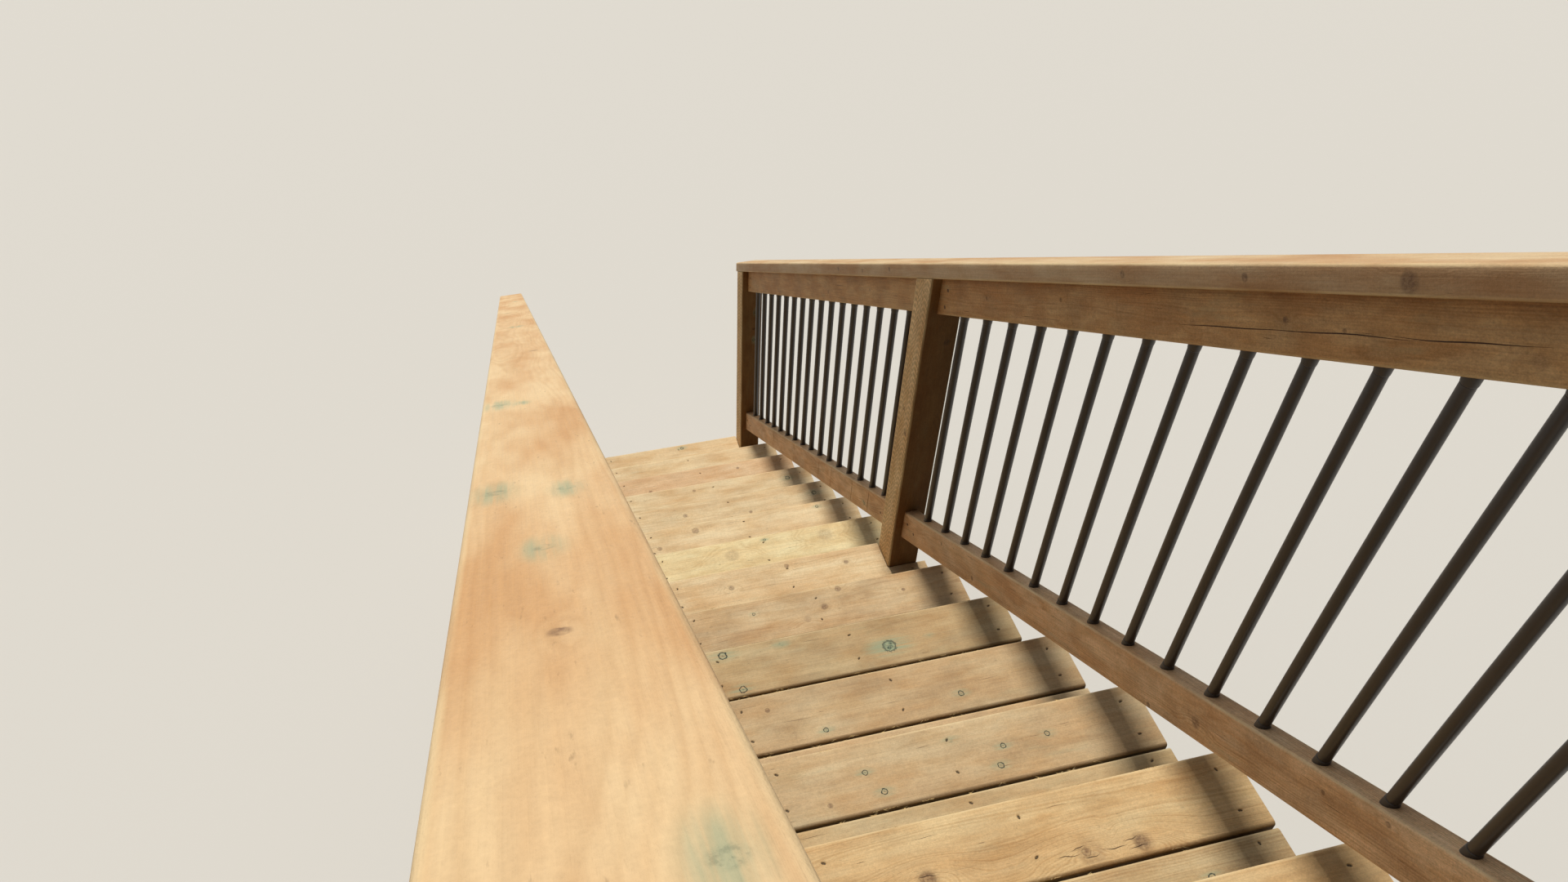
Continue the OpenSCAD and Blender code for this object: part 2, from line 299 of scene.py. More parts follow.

# %% [markdown]
# ## Treated softwood
# The boards are pressure-treated fir: sawn flat from small logs, planed, rounded on their long edges and
# soaked in a copper preservative. To the eye that is a dull tan with darker late wood in each year ring, fine
# streaks along the fibres, warm and pale patches, and paler, fuzzy edges. Painted light and shade are laid
# on top: a highlight on rounded edges, shade on the treads' uphill edges, in pressed hollows and in slits,
# and shade or light on side faces. It could be drawn as stretched noise, but the pattern would run on
# through the ends. Here each board carries its own coordinates in the log that it was sawn from, in an
# attribute named grain: along the fibres, and two distances from the pith. Rings are then plain distances
# from the pith, so faces show long flames, edges show lines and ends show arcs, as in real lumber. Three
# more attributes say how the board looks as a whole (tint, which also holds the painted shade or light of
# its side faces, and habit) and where it is rounded, sawn or pressed (finish).

# %% Treated softwood
RING_MM = 3.2
LATE_WOOD = (0.66, 0.53, 0.40)
WARM_SHIFT = (0.95, 0.88, 0.80)
PALE_SHIFT = (1.05, 1.08, 1.08)
MOTTLE = (0.87, 0.80, 0.72)
GRIME = (0.74, 0.74, 0.75)
FRESH_FIBRE_HIGHLIGHT = "#e8d3a4"
EDGE_PAINTED_SHADE = "#5c432b"
SAWN_END = "#8f744b"
PRESSED_HOLLOW_SHADE = "#40301f"
# Noises as (per metre along the fibres, per metre across them, share in the lightness)
NOISES = {"fine": (10.0, 560.0, 0.36), "coarse": (7.0, 150.0, 0.22), "speckle": (420.0, 520.0, 0.5),
          "fuzz": (150.0, 240.0, 0.32), "chatter": (190.0, 14.0, 0.12), "broad": (3.4, 15.0, 0.0),
          "mottle": (9.0, 24.0, 0.1), "seep": (6.0, 30.0, 0.0), "grime": (9.0, 17.0, 0.0),
          "fleck": (70.0, 300.0, 0.0)}


def treated_wood(name, rough, incised=False, drift=1.0):
    """Softwood from the attributes grain, tint, habit, finish and the two knots. rough is its mean roughness,
    and drift the power to which its warm and pale shifts are raised."""
    material, tree, shader = new_material(name)
    grain = add(tree, "Attribute", out="Vector", attribute_name="grain")
    tint = add(tree, "Attribute", out="Color", attribute_name="tint")
    habit = add(tree, "Attribute", out=None, attribute_name="habit")
    finish = add(tree, "Attribute", out=None, attribute_name="finish")
    place = add(tree, "SeparateXYZ", {0: grain}, out=None).outputs
    ring_share, warmth, contrast = add(tree, "SeparateXYZ", {0: habit.outputs["Vector"]}, out=None).outputs
    rounded, sawn, pressed = add(tree, "SeparateXYZ", {0: finish.outputs["Vector"]}, out=None).outputs
    knots = [read_knot(tree, grain, number) for number in (1, 2)]

    # Noises stretched along the board, from hair-fine streaks to hand-wide patches. Some shade the colour too
    noise = {}
    light = None
    for key, (long, cross, share) in NOISES.items():
        apart = (len(noise), 0, 0)
        stretched = add(tree, "Mapping", {"Vector": grain, "Scale": (long, cross, cross), "Location": apart})
        grains = {"Vector": stretched, "Scale": 1.0, "Detail": 3.0, "Roughness": 0.6}
        noise[key] = add(tree, "TexNoise", grains)
        if share:
            part = add(tree, "Math", {0: noise[key], 1: 0.5}, **MINUS)
            light = add(tree, "Math", {0: part, 1: share, 2: light or 0.0}, **TIMES_PLUS)
    light = add(tree, "Math", {0: light, 1: contrast, 2: 1.0}, **TIMES_PLUS)

    # Year rings: distance from the pith with a slow wander, the log's taper and the swerve at knots
    wander = add(tree, "Mapping", {"Vector": grain, "Scale": (2.2, 12.0, 12.0)})
    wander = add(tree, "TexNoise", {"Vector": wander, "Scale": 1.0, "Detail": 2.0})
    reach = add(tree, "MapRange", {"Value": wander, TO_LOW: -16.0, TO_HIGH: 16.0})
    reach = add(tree, "Math", {0: place[0], 1: 7.0, 2: reach}, **TIMES_PLUS)
    for knot in knots:
        reach = add(tree, "Math", {0: reach, 1: knot["swerve"]}, **PLUS)
    pith = add(tree, "CombineXYZ", {1: place[1], 2: place[2]})
    pith = add(tree, "VectorMath", {0: pith}, **LENGTH)
    reach = add(tree, "Math", {0: pith, 1: 1 / MM, 2: reach}, **TIMES_PLUS)
    reach = add(tree, "Math", {0: noise["coarse"], 1: 2.6, 2: reach}, **TIMES_PLUS)
    year = add(tree, "Math", {0: reach, 1: RING_MM}, operation="DIVIDE")
    season = add(tree, "Math", {0: year}, operation="FRACT")
    late = add(tree, "ValToRGB", {"Fac": season}, stops=((0.0, 0.35), (0.25, 0.0), (0.8, 0.95), (1.0, 0.35)))
    number = add(tree, "Math", {0: year}, operation="FLOOR")
    vigour = add(tree, "TexWhiteNoise", {"W": number}, noise_dimensions="1D")
    vigour = add(tree, "MapRange", {"Value": vigour, TO_LOW: 0.25, TO_HIGH: 1.0})
    late = add(tree, "Math", {0: late, 1: vigour}, **TIMES)
    depth = add(tree, "Math", {0: late, 1: ring_share}, **TIMES)

    # Colour: warm and pale patches, orange mottles, late wood, dirt in patches and seeped copper
    warm = add(tree, "VectorMath", {0: tint, 1: tuple(np.power(WARM_SHIFT, drift))}, **TIMES)
    pale = add(tree, "VectorMath", {0: tint, 1: tuple(np.power(PALE_SHIFT, drift))}, **TIMES)
    patch = add(tree, "Math", {0: noise["broad"], 1: warmth}, **MINUS)
    patch = add(tree, "MapRange", {"Value": patch, LOW: 0.36, HIGH: 0.62})
    colour = add(tree, "Mix", {FACTOR: patch, FIRST: warm, SECOND: pale}, **MIX_COLOUR)
    spread = add(tree, "MapRange", {"Value": noise["mottle"], LOW: 0.42, HIGH: 0.66})
    trodden = add(tree, "MapRange", {"Value": noise["grime"], LOW: 0.42, HIGH: 0.68})
    trodden = add(tree, "Math", {0: trodden, 1: habit.outputs["Alpha"]}, **TIMES)
    spread = add(tree, "Math", {0: spread, 1: contrast}, **TIMES, use_clamp=True)
    for share, shift in ((depth, LATE_WOOD), (spread, MOTTLE), (trodden, GRIME)):
        changed = add(tree, "VectorMath", {0: colour, 1: shift}, **TIMES)
        colour = add(tree, "Mix", {FACTOR: share, FIRST: colour, SECOND: changed}, **MIX_COLOUR)
    fleck = {"Value": noise["fleck"], LOW: 0.66, HIGH: 0.76, TO_LOW: 1.0, TO_HIGH: 0.72}
    fleck = add(tree, "MapRange", fleck)
    light = add(tree, "Math", {0: light, 1: fleck}, **TIMES)
    colour = add(tree, "VectorMath", {0: colour, "Scale": light}, operation="SCALE")
    seep = add(tree, "MapRange", {"Value": noise["seep"], LOW: 0.62, HIGH: 0.82, TO_HIGH: 0.35})
    seep = add(tree, "Math", {0: seep, 1: habit.outputs["Alpha"]}, **TIMES)
    colour = add(tree, "Mix", {FACTOR: seep, FIRST: colour, SECOND: rgba(COPPER_STAIN)}, **MIX_COLOUR)

    # Relief in millimetres: late wood stands up, fibres lift, saw teeth leave ripples
    relief = add(tree, "Math", {0: depth, 1: 0.2}, **TIMES)
    for key, height in (("fine", 0.3), ("coarse", 0.4), ("speckle", 0.28), ("fuzz", 0.4), ("chatter", 0.25)):
        relief = add(tree, "Math", {0: noise[key], 1: height, 2: relief}, **TIMES_PLUS)
    for knot in knots:
        colour, relief = paint_knot(tree, colour, relief, noise["coarse"], knot)
    if incised:
        colour, relief = incisions(tree, grain, place, finish.outputs["Alpha"], colour, relief)

    # Rounded edges are worn pale with a painted highlight, and painted dark as shade where rounded is below
    # zero. Sawn ends drink more preservative
    rubbed_and_highlit = add(tree, "MapRange", {"Value": noise["seep"], LOW: 0.35, HIGH: 0.6, TO_LOW: 0.1, TO_HIGH: 0.55})
    rubbed_and_highlit = add(tree, "Math", {0: rubbed_and_highlit, 1: rounded}, **TIMES, use_clamp=True)
    colour = add(tree, "Mix", {FACTOR: rubbed_and_highlit, FIRST: colour, SECOND: rgba(FRESH_FIBRE_HIGHLIGHT)}, **MIX_COLOUR)
    edge_shade = add(tree, "Math", {0: rounded, 1: -0.5}, **TIMES, use_clamp=True)
    colour = add(tree, "Mix", {FACTOR: edge_shade, FIRST: colour, SECOND: rgba(EDGE_PAINTED_SHADE)}, **MIX_COLOUR)
    ends = add(tree, "Math", {0: sawn, 1: 0.5}, **TIMES)
    colour = add(tree, "Mix", {FACTOR: ends, FIRST: colour, SECOND: rgba(SAWN_END)}, **MIX_COLOUR)
    # Screw dips and saw kerfs are painted dark: painted shade in the pressed hollows
    hollow_shade = add(tree, "MapRange", {"Value": pressed, LOW: 0.3, HIGH: 0.8, TO_HIGH: 0.85})
    colour = add(tree, "Mix", {FACTOR: hollow_shade, FIRST: colour, SECOND: rgba(PRESSED_HOLLOW_SHADE)}, **MIX_COLOUR)
    bump = add(tree, "Bump", {"Height": relief, "Distance": MM, "Strength": 1.0})
    dull = add(tree, "MapRange", {"Value": noise["fine"], TO_LOW: rough - 0.14, TO_HIGH: rough + 0.16})
    fill(tree, shader, {"Base Color": colour, "Roughness": dull, "Normal": bump, "Specular IOR Level": 0.2})
    return material


# Planed and walked on: a little smoother than the rest
tread_wood = treated_wood("treated_fir_planed", 0.68)
# Planed, handled and rained on: the smoothest
rail_wood = treated_wood("treated_fir_rail", 0.62)
cap_wood = treated_wood("treated_fir_cap", 0.6, drift=2.0)
# Sawn and never sanded: dull
frame_wood = treated_wood("treated_fir_stringer", 0.76)
# Incised by toothed rollers on two faces
post_wood = treated_wood("treated_fir_incised", 0.7, incised=True)
recipe_sizes = [len(wood.node_tree.nodes) for wood in (tread_wood, post_wood)]
print("nodes in a board's and a post's wood:", recipe_sizes)

# %% [markdown]
# ## A board's section
# A real board is a rounded rectangle drawn along the fibres, then cut. The surface is made the same way: one
# closed outline of the section is carried along the board.

# %% Section outline
def outline(width, thick, edge, rows=(), arc=4, broad_steps=6, upright=2):
    """Closed rounded rectangle, counter-clockwise: a quarter circle of radius edge at each corner, straight
    sides between them, and extra points on the upper broad side at the places given in rows."""
    half_w, half_t = width / 2 - edge, thick / 2 - edge
    lower = np.linspace(-half_w, half_w, broad_steps + 1)[1:-1]
    upper = np.unique(np.concatenate([lower, np.clip(rows, -half_w, half_w)]).round(6))[::-1]
    side = np.linspace(-half_t, half_t, upright + 2)[1:-1]
    turn = np.radians(np.linspace(0, 90, arc + 1))
    cos, sin = edge * np.cos(turn), edge * np.sin(turn)
    w = np.concatenate([half_w + cos, upper, -half_w - sin, np.full(upright, -width / 2),
                        -half_w - cos, lower, half_w + sin, np.full(upright, width / 2)])
    t = np.concatenate([half_t + sin, np.full(len(upper), thick / 2), half_t + cos, side[::-1],
                        -half_t - sin, np.full(len(lower), -thick / 2), -half_t - cos, side])
    bend = np.sin(np.linspace(0, math.pi, arc + 1))
    rounded = np.concatenate([bend, np.zeros(len(upper)), bend, np.zeros(upright),
                              bend, np.zeros(len(lower)), bend, np.zeros(upright)])
    return w, t, rounded


# Radii of the long edges: treads, then posts, rails and caps, then stringers
TREAD_EDGE, TIMBER_EDGE, STRINGER_EDGE = 6 * MM, 5 * MM, 3 * MM
demo = outline(board_width, board_thick, TREAD_EDGE)
print("a tread board's outline has", len(demo[0]), "points,", round(np.ptp(demo[0]) / MM, 1), "mm across")

# %% [markdown]
# ## Knots on a board
# The list of a board's knots is turned into two sets of attributes. Along the board each knot owns the
# stretch up to half way to the next knot of its set, and two stations a hair apart close the stretch, so
# that the distances are exact everywhere between stations.

# %% Knot attributes
HAIR = 0.05 * MM
SCREW_DIP = 2.6 * MM
NO_KNOT = 1000.0
# Kinds as (copper stain, colour of the plug, dark rim, share of the usual swerve in the rings round it)
PIN = (0.8, 0.12, 1.0, 0.6)
PLUM = (0.03, 0.9, 0.2, 0.8)
COPPER = (1.0, 0.95, 0.75, 0.7)
BROWN = (0.0, 0.85, 0.3, 0.8)
SWIRL = (0.0, 0.4, 0.0, 0.5)
SMUDGE = (0.05, 0.9, 0.0, 0.5)
FAINT = (0.85, 0.3, 0.0, 0.15)
KINDS = (PIN, PLUM, SMUDGE, BROWN, SWIRL)
rng = np.random.default_rng(20)


def knot_sets(knots):
    """Splits rows of (s, w, t, radius, kind) in mm into two sets, every other knot along the board."""
    rows = sorted(knots, key=lambda row: row[0])
    return rows[0::2], rows[1::2]


def knot_bounds(rows):
    """Half-way places between the knots of one set, in metres."""
    s = np.array([row[0] for row in rows]) * MM
    return (s[1:] + s[:-1]) / 2


def knot_stations(knots):
    """A station at each knot, and two a hair apart at each half-way place."""
    out = [np.array([row[0] for row in knots]) * MM]
    for rows in knot_sets(knots):
        for bound in knot_bounds(rows):
            out.append(np.array([bound - HAIR, bound + HAIR]))
    return np.concatenate(out)


def knot_attributes(s, w, t, knots):
    """For each of two sets, the offset (s - ks, w - kw, t - kt) / radius with the share of the way to the
    stretch's end, and the kind with the radius."""
    found = {}
    for number, rows in enumerate(knot_sets(knots), start=1):
        spot = np.full((*s.shape, 4), NO_KNOT)
        kind = np.zeros((*s.shape, 4))
        if rows:
            centre = np.array([row[:3] for row in rows]) * MM
            radius = np.array([row[3] for row in rows]) * MM
            looks = np.array([[*row[4][:3], row[4][3] * row[3] / 100] for row in rows])
            bounds = knot_bounds(rows)
            owner = np.searchsorted(bounds, s.mean(axis=1))
            left = np.concatenate([[-1e3], bounds])[owner]
            right = np.concatenate([bounds, [1e3]])[owner]
            offset = np.stack([s, w, t], axis=-1) - centre[owner][:, None]
            before, after = centre[owner, 0] - left, right - centre[owner, 0]
            room = np.where(offset[..., 0] < 0, before[:, None], after[:, None])
            share = np.abs(offset[..., :1]) / room[..., None]
            spot = np.concatenate([offset / radius[owner][:, None, None], share], axis=-1)
            kind = np.broadcast_to(looks[owner][:, None], (*s.shape, 4))
        found[f"knot_{number}"] = spot.reshape(-1, 4)
        found[f"knot_kind_{number}"] = kind.reshape(-1, 4)
    return found


def random_knots(length_from, length_to, half_width, face, per_metre, kinds=KINDS):
    """Rows of knots strewn along the face at height face, as many per metre as is usual for this timber."""
    count = rng.poisson(per_metre * (length_to - length_from) / 1000)
    return [(rng.uniform(length_from, length_to), rng.uniform(-half_width, half_width), face,
             rng.uniform(4, 10), kinds[rng.integers(len(kinds))]) for _ in range(count)]


print("kinds of knots:", len(KINDS))

# %% [markdown]
# ## A board as a surface
# Stations run along the board. At each one the outline is placed by three directions: along the fibres,
# across the board and out of its broad face. Both ends may be cut at a slant, so each point of the outline
# has its own start and end. Each cut in the side of a board is a limit that the outline's points can't pass:
# a point that would lie beyond a notch is pressed onto its wall, so the notch gets a flat, sharp wall with no
# boolean, and a saw-tooth stringer is the same board with an upper limit that zigzags. At the very end the
# outline shrinks along a quarter circle, the way a saw cut is eased.

# %% Board surface
# Evenly spaced stations on any board, on posts, rails and caps, and on stringers
EVEN_STATIONS, TIMBER_STATIONS, STRINGER_STATIONS = 12, 40, 60


def board(axes, section, start, end, stations, low=None, high=None, press=None, *, tint, rings, pith, knots,
          warmth=0.0, wear=0.4, contrast=1.0, painted_side_shading=0.7, ease=0.6, cut_face=0.0, shaded_edge_side=0):
    """Surface of a board: point = origin + along * s + across * w + out * t. s goes from start(w, t) to
    end(w, t), w is held between the limits low(s) and high(s), and press(s, w, t) is taken off t. The colour
    of the sides across w is multiplied by painted_side_shading: painted shade below 1, painted light above 1.
    ease is the radius of the eased ends in mm, pith the place of the log's heart in mm, knots are rows in mm,
    cut_face is 1 on incised faces, and shaded_edge_side is the sign of w at which the rounded edges are
    painted dark as shade. Returns (points, faces, attributes)."""
    origin, along, across, out = axes
    w, t, rounded = section
    ease = ease * MM
    first, last = start(0.0, 0.0), end(0.0, 0.0)
    length = last - first
    steps = ease * (1 - np.cos(np.radians([0, 30, 60, 90])))
    even = np.linspace(first, last, EVEN_STATIONS)
    inner = np.concatenate([stations, knot_stations(knots), even]) - first
    inner = inner[(inner > ease) & (inner < length - ease)]
    at = np.unique(np.concatenate([steps, inner, length - steps]))
    gap = np.minimum(at, length - at)
    inset = ease - np.sqrt(np.maximum(ease ** 2 - np.maximum(ease - gap, 0) ** 2, 0))
    w2 = w[None] * (1 - inset[:, None] / np.abs(w).max())
    t2 = t[None] * (1 - inset[:, None] / np.abs(t).max())
    s = start(w2, t2) + (at / length)[:, None] * (end(w2, t2) - start(w2, t2))
    if low is not None:
        w2 = np.maximum(w2, low(s))
    if high is not None:
        w2 = np.minimum(w2, high(s))
    dent = press(s, w2, t2) if press is not None else np.zeros_like(s)
    points = origin + s[..., None] * along + w2[..., None] * across + (t2 - dent)[..., None] * out
    flat = np.ones_like(s)
    sawn = flat * (gap < 0.3 * ease)[:, None]
    # On the side given, the rounded edge is marked below zero: painted shade there instead of the painted
    # highlight
    rounded = np.where(w * shaded_edge_side > 0, -rounded, rounded)
    painted_side_mask = np.abs(w) > np.abs(w).max() - 0.3 * MM
    # The side faces' colour is scaled: painted shade below 1, painted light above 1
    colour = linear(tint) * rng.uniform(0.96, 1.04) * np.where(painted_side_mask[:, None], painted_side_shading, 1.0)
    parts = {
        "grain": (s + rng.uniform(0, 60), w2 - pith[0] * MM, t2 - pith[1] * MM),
        "finish": (flat * rounded, sawn, np.clip(dent / SCREW_DIP, 0, 1), flat * cut_face),
        "tint": np.moveaxis(np.broadcast_to(colour, (*s.shape, 3)), -1, 0),
        "habit": (flat * rings, flat * warmth, flat * contrast, flat * wear)}
    attributes = {name: np.stack(rows, axis=-1).reshape(-1, len(rows)) for name, rows in parts.items()}
    attributes.update(knot_attributes(s, w2, t2, knots))
    return points.reshape(-1, 3), tube_faces(*s.shape), attributes


def level_cut(place):
    """A square cut: every point of the outline has the same place along the board."""
    return lambda w, t: place + 0 * (w + t)


def tube_faces(m, n):
    """Quads between m rings of n points, turned outward, and one face over each end ring."""
    first, turn = np.meshgrid(n * np.arange(m - 1), np.arange(n), indexing="ij")
    after = (turn + 1) % n
    quads = np.stack([first + turn, first + after, first + n + after, first + n + turn], axis=-1)
    return [*quads.reshape(-1, 4).tolist(), list(range(n))[::-1], list(range((m - 1) * n, m * n))]


print("a tube of 3 rings of 8 points has", len(tube_faces(3, 8)), "faces")

# %% [markdown]
# ## From arrays to a piece
# A piece may be several boards, as a tread is two. Their arrays are joined, written into one mesh, and points
# that fell together on a notch's wall are merged, which also removes the empty faces between them. The piece
# rides on the one body that the frame has, and stands for the frame's node of the same name.

# %% Piece maker
SHARP = math.radians(32)
MERGE = 0.02 * MM
triangles = {}


def new_object(name, data):
    """Puts an object with this mesh, lamp or camera into the scene."""
    obj = bpy.data.objects.new(name, data)
    bpy.context.scene.collection.objects.link(obj)
    return obj


def piece(name, surfaces, material, node=None):
    """Joins surfaces of (points, faces, attributes) into one mesh object and hands it to the frame."""
    points = np.concatenate([surface[0] for surface in surfaces])
    counts = np.cumsum([0] + [len(surface[0]) for surface in surfaces])
    faces = [[i + first for i in face] for surface, first in zip(surfaces, counts) for face in surface[1]]
    mesh = bpy.data.meshes.new(name)
    mesh.from_pydata(points.tolist(), [], faces)
    for key in surfaces[0][2]:
        values = np.concatenate([surface[2][key] for surface in surfaces]).astype(np.float32)
        kind, field = ("FLOAT_COLOR", "color") if values.shape[1] == 4 else ("FLOAT_VECTOR", "vector")
        mesh.attributes.new(key, kind, "POINT").data.foreach_set(field, values.ravel())
    work = bmesh.new()
    work.from_mesh(mesh)
    bmesh.ops.remove_doubles(work, verts=work.verts, dist=MERGE)
    bmesh.ops.dissolve_degenerate(work, edges=work.edges, dist=MERGE / 2)
    work.to_mesh(mesh)
    work.free()
    mesh.polygons.foreach_set("use_smooth", np.ones(len(mesh.polygons), bool))
    mesh.set_sharp_from_angle(angle=SHARP)
    mesh.materials.append(material)
    obj = new_object(name, mesh)
    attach(obj, "root")
    if node:
        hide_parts(node)
    triangles[name] = sum(len(polygon.vertices) - 2 for polygon in mesh.polygons)


print("pieces merge points closer than", MERGE / MM, "mm")

# %% [markdown]
# ## Where the screws go
# Each board is held to each stringer by two coated screws, driven a little below the surface so that the wood
# round them dips and splits. The dip is pressed into the board's own surface, and the screw head lies in it.
# The places come from the stringers' middles, with the few millimetres of scatter that a hand-held driver
# leaves. Notched ends get their screw in what wood is left.

# %% Screw places
DIP_RADIUS = 3.6 * MM
HEAD_RADIUS = 2.9 * MM
FIRST_ROW = 32 * MM
SECOND_ROW = 104 * MM
BACK_ROW = 20 * MM
SCATTER = 3.0 * MM
stringers = ["stringer_left_outer", "stringer_left_inner", "stringer_right_inner", "stringer_right_outer"]
stringer_x = np.array([(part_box(n)[0].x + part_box(n)[1].x) / 2 for n in stringers])
post_nodes = {(s, p): f"post_{s}_{p}" for s in SIDES for p in ("bottom", "middle", "top")}
BAYS = ("lower", "upper")
post_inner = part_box("post_right_bottom")[0].x
post_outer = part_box("post_right_bottom")[1].x
lap_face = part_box("stringer_right_outer")[0].x
NOTCH_PLAY = 2 * MM
notch_x = post_inner - NOTCH_PLAY
AROUND_SCREW = np.linspace(-8.4, 8.4, 15) * MM


def screw_spots(rows):
    """Places (s, w) of two rows of screws over the four stringers, with a little scatter."""
    s, w = np.meshgrid(stringer_x, rows)
    scatter = rng.uniform(-SCATTER, SCATTER, (2, *s.shape))
    return np.stack([s + scatter[0], w + scatter[1]], axis=-1).reshape(-1, 2)


def dips(spots):
    """press(s, w, t): on the upper face, a dip at each spot with a torn rim, deepest at its middle."""
    def press(s, w, t):
        ds, dw = s[..., None] - spots[:, 0], w[..., None] - spots[:, 1]
        torn = 1 + 0.3 * np.sin(2 * np.arctan2(dw, ds) + spots[:, 0] * 40 / MM)
        away = (np.hypot(ds * 0.85, dw) * torn).min(axis=-1)
        share = np.clip((DIP_RADIUS - away) / (2.2 * MM), 0, 1)
        return np.where(t > 0, SCREW_DIP * share * share * (3 - 2 * share), 0.0)
    return press


print("stringer middles, mm:", (stringer_x / MM).round(1))

# %% [markdown]
# ## Boards that are alike and not the same
# No two boards come from the same tree. A few tints cover a delivery of this timber, from cream to a darker
# gold, and each tread takes one for its front and one for its back board. The upper treads take the darker
# tints: partly their own tone, partly painted shade. The knots that catch the eye are listed with their
# place across the stair, their distance behind the nose, their radius and their kind.

# %% Tread looks
TINTS = {"cream": "#e6d6aa", "pale": "#dcc59e", "pink": "#dabd98", "tan": "#cbb18b", "gold": "#d6ba8c",
         "olive": "#c6ad87", "brown": "#c2aa82"}
# The upper treads' darker tints are partly their own tone, partly painted shade
TREAD_TINTS = ["pale pink", "pale pink", "pink pale", "pale tan", "pale pink", "pale pink", "cream cream",
               "pale pink", "tan brown", "brown tan", "olive tan", "olive brown", "gold brown", "gold tan",
               "tan pale"]
TREAD_RINGS = [0.3, 0.25, 0.25, 0.3, 0.35, 0.25, 0.35, 0.42, 0.52, 0.24, 0.16, 0.14, 0.6, 0.4, 0.3]
TREAD_WEAR = [0.3, 0.3, 0.3, 0.35, 0.35, 0.35, 0.3, 0.4, 0.7, 0.7, 0.7, 0.6, 0.5, 0.6, 0.5]
TREAD_KNOTS = {
    3: [(60, 90, 7, BROWN), (-330, 40, 6, PLUM)],
    4: [(-471, 52, 8, PIN), (-88, 35, 6, BROWN), (240, 80, 7, PIN)],
    5: [(2, 58, 8, PLUM), (-497, 56, 8, PIN), (-240, 95, 6, BROWN)],
    6: [(10, 35, 11, BROWN), (-431, 24, 5, PIN), (300, 70, 8, PLUM)],
    7: [(-366, 46, 26, SWIRL), (-53, 60, 24, SWIRL), (-170, 21, 4, PIN)],
    8: [(-165, 25, 7, PLUM), (13, 67, 8, PLUM), (-341, 51, 7, PLUM)],
    9: [(-234, 17, 8, BROWN), (-182, 66, 9, PLUM), (-126, 94, 11, SWIRL), (9, 46, 4, PIN),
        (-406, 60, 5, BROWN)],
    10: [(-250, 86, 15, COPPER), (3, 21, 6, FAINT), (-354, 79, 4, FAINT)],
    11: [(-300, 97, 5.6, PIN), (7, 115, 5, PIN), (114, 42, 5, BROWN)],
    12: [(5, 63, 5, PIN), (-18, 107, 5.6, PIN), (-266, 70, 5, PIN), (-246, 107, 5.6, PIN), (-358, 65, 5, PIN),
         (-174, 37, 5, FAINT)],
    13: [(-255, 115, 24, SWIRL), (-248, 113, 7, BROWN), (-345, 118, 20, SWIRL), (-342, 118, 12, PLUM),
         (11, 95, 19, SWIRL), (13, 97, 12, BROWN)],
    14: [(-300, 60, 8, PIN), (120, 95, 8, BROWN), (300, 30, 7, PIN)],
}
post_tread = {"bottom": 0, "middle": 7, "top": 14}
heads = []
print("listed tread knots:", sum(len(rows) for rows in TREAD_KNOTS.values()))

# %% [markdown]
# ## Treads
# A tread is two boards side by side with a gap for rain. The front board of a tread with a post loses its
# corners to it, the back board under a middle post has two slots where the post's lower part passes, and
# the top tread's back board is cut for the top posts.

# %% Tread notches
# Further away than any of the wood, in metres
NO_LIMIT = 9.0
SCREW_ROOM = 18 * MM
# Strewn knots: how far from the middle along a tread board and across it, in mm, and their kinds
STREWN_HALF = 540
STREWN_RIGHT = 60
STREWN_ACROSS = 55
STREWN_KINDS = (PIN, BROWN, PLUM)


def in_front_of(y_limit, x_from):
    """low(s): beyond x_from from the middle the wood starts at y_limit."""
    return lambda s: np.where(np.abs(s) > x_from, y_limit, -NO_LIMIT)


def behind(y_limit, x_from, x_to=NO_LIMIT):
    """high(s): between x_from and x_to from the middle the wood ends at y_limit."""
    return lambda s: np.where((np.abs(s) > x_from) & (np.abs(s) < x_to), y_limit, NO_LIMIT)


def walls(places):
    """Two stations at each notch wall, a hair apart, on both sides of the middle."""
    return np.ravel([[-p - HAIR, -p + HAIR, p - HAIR, p + HAIR] for p in places])


def notch(index, is_back, centre_y):
    """Limits and wall places of one tread board, from the posts' boxes."""
    for place, at in post_tread.items():
        low_corner, high_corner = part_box(post_nodes["right", place])
        if at == index and place != "top" and not is_back:
            return in_front_of(high_corner.y + NOTCH_PLAY - centre_y, notch_x), None, (notch_x,)
        if at == index and place == "top" and is_back:
            return None, behind(low_corner.y - NOTCH_PLAY - centre_y, notch_x), (notch_x,)
        if at == index + 1 and is_back and place == "middle":
            beyond = lap_face + NOTCH_PLAY
            return None, behind(low_corner.y - NOTCH_PLAY - centre_y, notch_x, beyond), (notch_x, beyond)
    return None, None, ()


